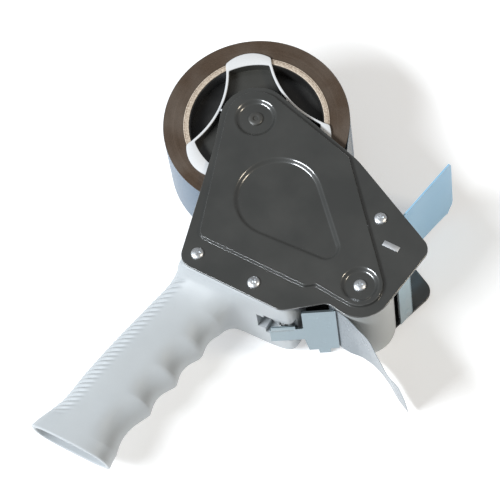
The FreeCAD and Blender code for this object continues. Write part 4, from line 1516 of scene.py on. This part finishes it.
class DISPENSER_OT_hold_down(bpy.types.Operator):
    """Cuts the plated hold-down plate and winds its spring"""

    bl_idname = "dispenser.hold_down"
    bl_label = "Hold-Down Plate"

    def execute(self, context):
        fit(hold_down_parts(look("bright_chrome")), "hold_down", "bright_chrome", "hold_down_plate")
        low, high = span("hold_down_spring")
        pin = middle_of("hold_down_pin")
        foot, end = PIN_ENDS
        rod = rounded([(0, foot), (PIN_RADIUS, foot), (PIN_RADIUS, end), (0, end)], [0, 0.3, 0.3, 0])
        rod = turned(rod, (pin.x, pin.y), 40).make("hinge_pin", look("zinc_steel"))
        fit(rod, "frame", "zinc_steel", "hold_down_pin")
        spring = new_object("hinge_spring", bpy.data.meshes.new("hinge_spring"))
        values = {
            "Turns": COIL_TURNS, "Radius": COIL_RADIUS * MM, "Wire": COIL_WIRE * MM, "Leg": COIL_LEG * MM,
            "Height": (high.z - low.z - 2 * COIL_WIRE) * MM,
            "At": Vector((pin.x, pin.y, low.z + COIL_WIRE)) * MM, "Material": look("spring_steel"),
        }
        run_tree(spring, coil_tree(), values)
        fit(spring, "frame", "spring_steel", "hold_down_spring")
        return {"FINISHED"}


# ---------------------------------------------------------------- blade and wiper

BLADE_SLOPE = radians(78.0)
BLADE_WIDTH = 10.6
BLADE_THICK = 0.8
RIVET_PITCH = 16.0


def blade_line():
    way = Vector((cos(BLADE_SLOPE), sin(BLADE_SLOPE), 0))
    return Vector((*on_circle(ROLLER, ROLLER_RADIUS + 3.0, radians(29.2)), 0)), way


def ground_blade():
    """The blade's strip and a row of ground teeth along its outer edge."""
    start, way = blade_line()
    side = Vector((-way.y, way.x, 0))
    low, high = span("blade")
    root = BLADE_WIDTH - mm("tooth_depth")
    steel = look("blade_steel")
    outline = [(0, low.z), (root, low.z), (root, high.z), (0, high.z)]
    origin = start + side * BLADE_THICK
    strip = slab(outline, origin, way, (0, 0, 1), BLADE_THICK, "toothed_blade", steel, 0.08)
    count = sizes().teeth
    pitch = (high.z - low.z) / count
    tooth = Shell()
    depth = mm("tooth_depth")
    flat = [way * -0.1, way * -0.1 + Vector((0, 0, pitch)), Vector((0, 0, pitch)) + way * 0.02, way * 0.02]
    tip = way * depth + Vector((0, 0, pitch / 2)) + side * BLADE_THICK * 0.35
    inner = tooth.ring([flat[0], flat[1], flat[1] + side * BLADE_THICK, flat[0] + side * BLADE_THICK])
    point = tooth.ring([tip])[0]
    for i in range(4):
        tooth.faces.append((inner[i], inner[(i + 1) % 4], point))
    tooth.faces.append(tuple(inner))
    loose = tooth.make("loose_tooth", steel)
    places = [start + way * root + Vector((0, 0, low.z + pitch * i)) for i in range(count)]
    teeth = copies("blade_teeth", loose, places, steel)
    return merged([strip, teeth])


def loose_rivet(material, rise):
    """A low domed rivet head whose seat is at height zero."""
    angles = [radians(degrees) for degrees in range(0, 90, 15)]
    dome = [(2.4 * cos(a), rise * (0.15 + 0.85 * sin(a))) for a in angles]
    shell = turned([(0, -3.4), (1.25, -3.4), (1.25, 0), (2.3, 0)] + dome + [(0.2, rise), (0, rise)], count=28)
    return shell.make("loose_rivet", material)


def rivet_row(name, seat, slope, material, rise):
    """Rivets at three heights, seated on a sloping strip."""
    places = [(seat.x, seat.y, TOOL_MIDDLE + RIVET_PITCH * i) for i in (-1, 0, 1)]
    return copies(name, loose_rivet(material, rise), places, material, (0, pi / 2, slope - pi / 2))


class DISPENSER_OT_blade(bpy.types.Operator):
    """Grinds the toothed blade and finishes its holder and rivets"""

    bl_idname = "dispenser.blade"
    bl_label = "Blade And Holder"

    def execute(self, context):
        fit(ground_blade(), "frame", "blade_steel", "blade")
        start, way = blade_line()
        seat = start + way * (BLADE_WIDTH / 2)
        rivets = rivet_row("blade_rivet_heads", seat, BLADE_SLOPE, look("blade_steel"), 0.08)
        fit(rivets, "frame", "blade_steel", "blade_rivets")
        softened("blade_holder", "frame", "holder_metal", look("holder_metal"), 0.25)
        return {"FINISHED"}


WIPER_SLOPE = radians(79.4)
WIPER_LENGTH = 60.0
WIPER_FROM = Vector((97.4, -32.5))
WIPER_CLAMPED = 10.0    # the film is straight as far as here


def wiper_sheet():
    """The springy film: straight in its clamp, then with a slight wave and a twist towards its end."""
    low, high = span("wiper_base")
    way = Vector((cos(WIPER_SLOPE), sin(WIPER_SLOPE)))
    side = Vector((way.y, -way.x))
    thick, along_steps, across_steps = 0.8, 72, 18
    shell = Shell()
    rings = []
    for i in range(along_steps + 1):
        run = WIPER_LENGTH * i / along_steps
        free = max(run - WIPER_CLAMPED, 0) / (WIPER_LENGTH - WIPER_CLAMPED)
        faces = [[], []]
        for k in range(across_steps + 1):
            share = k / across_steps
            z = high.z + (low.z - high.z) * share
            near_clip = 1.2 * smooth(1 - share * 14)
            far_clip = 4.6 * smooth((share - 0.86) / 0.14)
            reach = run - (near_clip + far_clip + 1.4 * share) * free ** 6
            wave = 0.35 * sin(3 * pi * free) * sin(pi * share) * smooth(free * 3)
            bend = 1.3 * share * free ** 2 + wave
            here = WIPER_FROM + way * reach + side * bend
            for face, depth in zip(faces, (0.0, thick)):
                face.append((*(here + side * depth), z))
        rings.append(shell.ring(faces[0] + faces[1][::-1]))
    shell.tube(rings)
    return shell.make("wiper_film", look("wiper_film"), 50)


class DISPENSER_OT_wiper(bpy.types.Operator):
    """Cuts the wiper film, which bends past its clamp, with its clamp bar and rivets"""

    bl_idname = "dispenser.wiper"
    bl_label = "Wiper"

    def execute(self, context):
        film = wiper_sheet()
        way = Vector((cos(WIPER_SLOPE), sin(WIPER_SLOPE)))
        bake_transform(film)
        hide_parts("wiper_base", "wiper_flap")
        softened("wiper_clamp", "frame", "holder_metal", look("holder_metal"), 0.2)
        seat = WIPER_FROM + way * 5.0 + Vector((way.y, -way.x)) * 1.8
        rivets = rivet_row("wiper_rivet_heads", seat, WIPER_SLOPE, look("zinc_steel"), 0.7)
        fit(rivets, "frame", "zinc_steel", "wiper_rivets")
        return {"FINISHED"}


# ---------------------------------------------------------------- stage

def soft_light(name, way, distance, size, watts, tint, aim, level=(0, 0, 1)):
    """A rectangular lamp that hangs in a direction from the tool, faces it and lies along a level."""
    lamp = bpy.data.lights.new(name, "AREA")
    lamp.shape = "RECTANGLE"
    lamp.size, lamp.size_y = size
    lamp.energy = watts
    lamp.color = tint
    holder = new_object(name, lamp)
    back = Vector(way).normalized()
    across = (Vector(level) - back * back.dot(Vector(level))).normalized()
    upright = back.cross(across)
    place = aim + back * distance
    holder.matrix_world = Matrix((
        (across.x, upright.x, back.x, place.x), (across.y, upright.y, back.y, place.y),
        (across.z, upright.z, back.z, place.z), (0, 0, 0, 1)))


def stage_camera(aim):
    """Looks down on the lying tool from its handle side, turned a little about the line of sight."""
    azimuth, elevation, roll, distance = radians(-38.639), radians(64.0), radians(-10.197), 1.6734
    forward = Vector((sin(azimuth) * cos(elevation), cos(azimuth) * cos(elevation), -sin(elevation)))
    level = forward.cross(Vector((0, 0, 1))).normalized()
    upright = level.cross(forward)
    right = level * cos(roll) + upright * sin(roll)
    up = right.cross(forward)
    camera = bpy.data.cameras.new("camera")
    camera.lens = 216.0
    camera.sensor_width = 36.0
    camera.clip_end = 20.0
    holder = new_object("camera", camera)
    holder.matrix_world = Matrix((
        (right.x, up.x, -forward.x, 0), (right.y, up.y, -forward.y, 0),
        (right.z, up.z, -forward.z, 0), (0, 0, 0, 1)))
    holder.location = aim - forward * distance
    bpy.context.scene.camera = holder


class DISPENSER_OT_stage(bpy.types.Operator):
    """Sets the pale floor, the soft lights and the camera"""

    bl_idname = "dispenser.stage"
    bl_label = "Stage"

    def execute(self, context):
        reach, low = 4.0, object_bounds()[0].z
        mesh = bpy.data.meshes.new("floor")
        corners = [(-reach, -reach, low), (reach, -reach, low), (reach, reach, low), (-reach, reach, low)]
        mesh.from_pydata(corners, [], [(0, 1, 2, 3)])
        show("floor", mesh, look("floor"))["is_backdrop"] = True
        aim = Vector((0.0285, -0.0615, 0.030))
        left, right = Vector((-0.62, -0.44, 0.65)), Vector((-0.17, -0.67, 0.72))
        soft_light("key", left + right, 1.6, (1.0, 0.34), 36.0, (0.90, 0.95, 1.0), aim, right - left)
        soft_light("warm", (0.65, 0.26, 0.71), 1.6, (0.35, 0.35), 6.0, (1.0, 0.88, 0.70), aim)
        world = context.scene.world or bpy.data.worlds.new("world")
        context.scene.world = world
        world.use_nodes = True
        sky = world.node_tree.nodes["Background"]
        sky.inputs["Color"].default_value = (0.95, 0.97, 1.0, 1.0)
        sky.inputs["Strength"].default_value = 0.25
        context.scene.view_settings.view_transform = "Standard"
        stage_camera(aim)
        return {"FINISHED"}


# ---------------------------------------------------------------- add-on

STEPS = [
    DISPENSER_OT_plates, DISPENSER_OT_screws, DISPENSER_OT_spindle, DISPENSER_OT_handle, DISPENSER_OT_hub,
    DISPENSER_OT_tape, DISPENSER_OT_roller, DISPENSER_OT_hold_down, DISPENSER_OT_blade, DISPENSER_OT_wiper,
    DISPENSER_OT_stage,
]


class DISPENSER_PT_panel(bpy.types.Panel):
    """Lists the pieces and their settings"""

    bl_idname = "DISPENSER_PT_panel"
    bl_label = "Tape Dispenser"
    bl_space_type = "VIEW_3D"
    bl_region_type = "UI"
    bl_category = "Tape Dispenser"

    def draw(self, context):
        for step in STEPS:
            self.layout.operator(step.bl_idname)
        for settings in (context.scene.dispenser_sizes, context.scene.dispenser_colours):
            box = self.layout.box()
            for name in settings.__annotations__:
                box.prop(settings, name)


CLASSES = [DispenserSizes, DispenserColours, *STEPS, DISPENSER_PT_panel]


def register():
    for item in CLASSES:
        bpy.utils.register_class(item)
    bpy.types.Scene.dispenser_sizes = bpy.props.PointerProperty(type=DispenserSizes)
    bpy.types.Scene.dispenser_colours = bpy.props.PointerProperty(type=DispenserColours)


def unregister():
    del bpy.types.Scene.dispenser_colours
    del bpy.types.Scene.dispenser_sizes
    for item in reversed(CLASSES):
        bpy.utils.unregister_class(item)


def main():
    register()
    for step in STEPS:
        group, name = step.bl_idname.split(".")
        getattr(getattr(bpy.ops, group), name)()


if __name__ == "__main__":
    main()
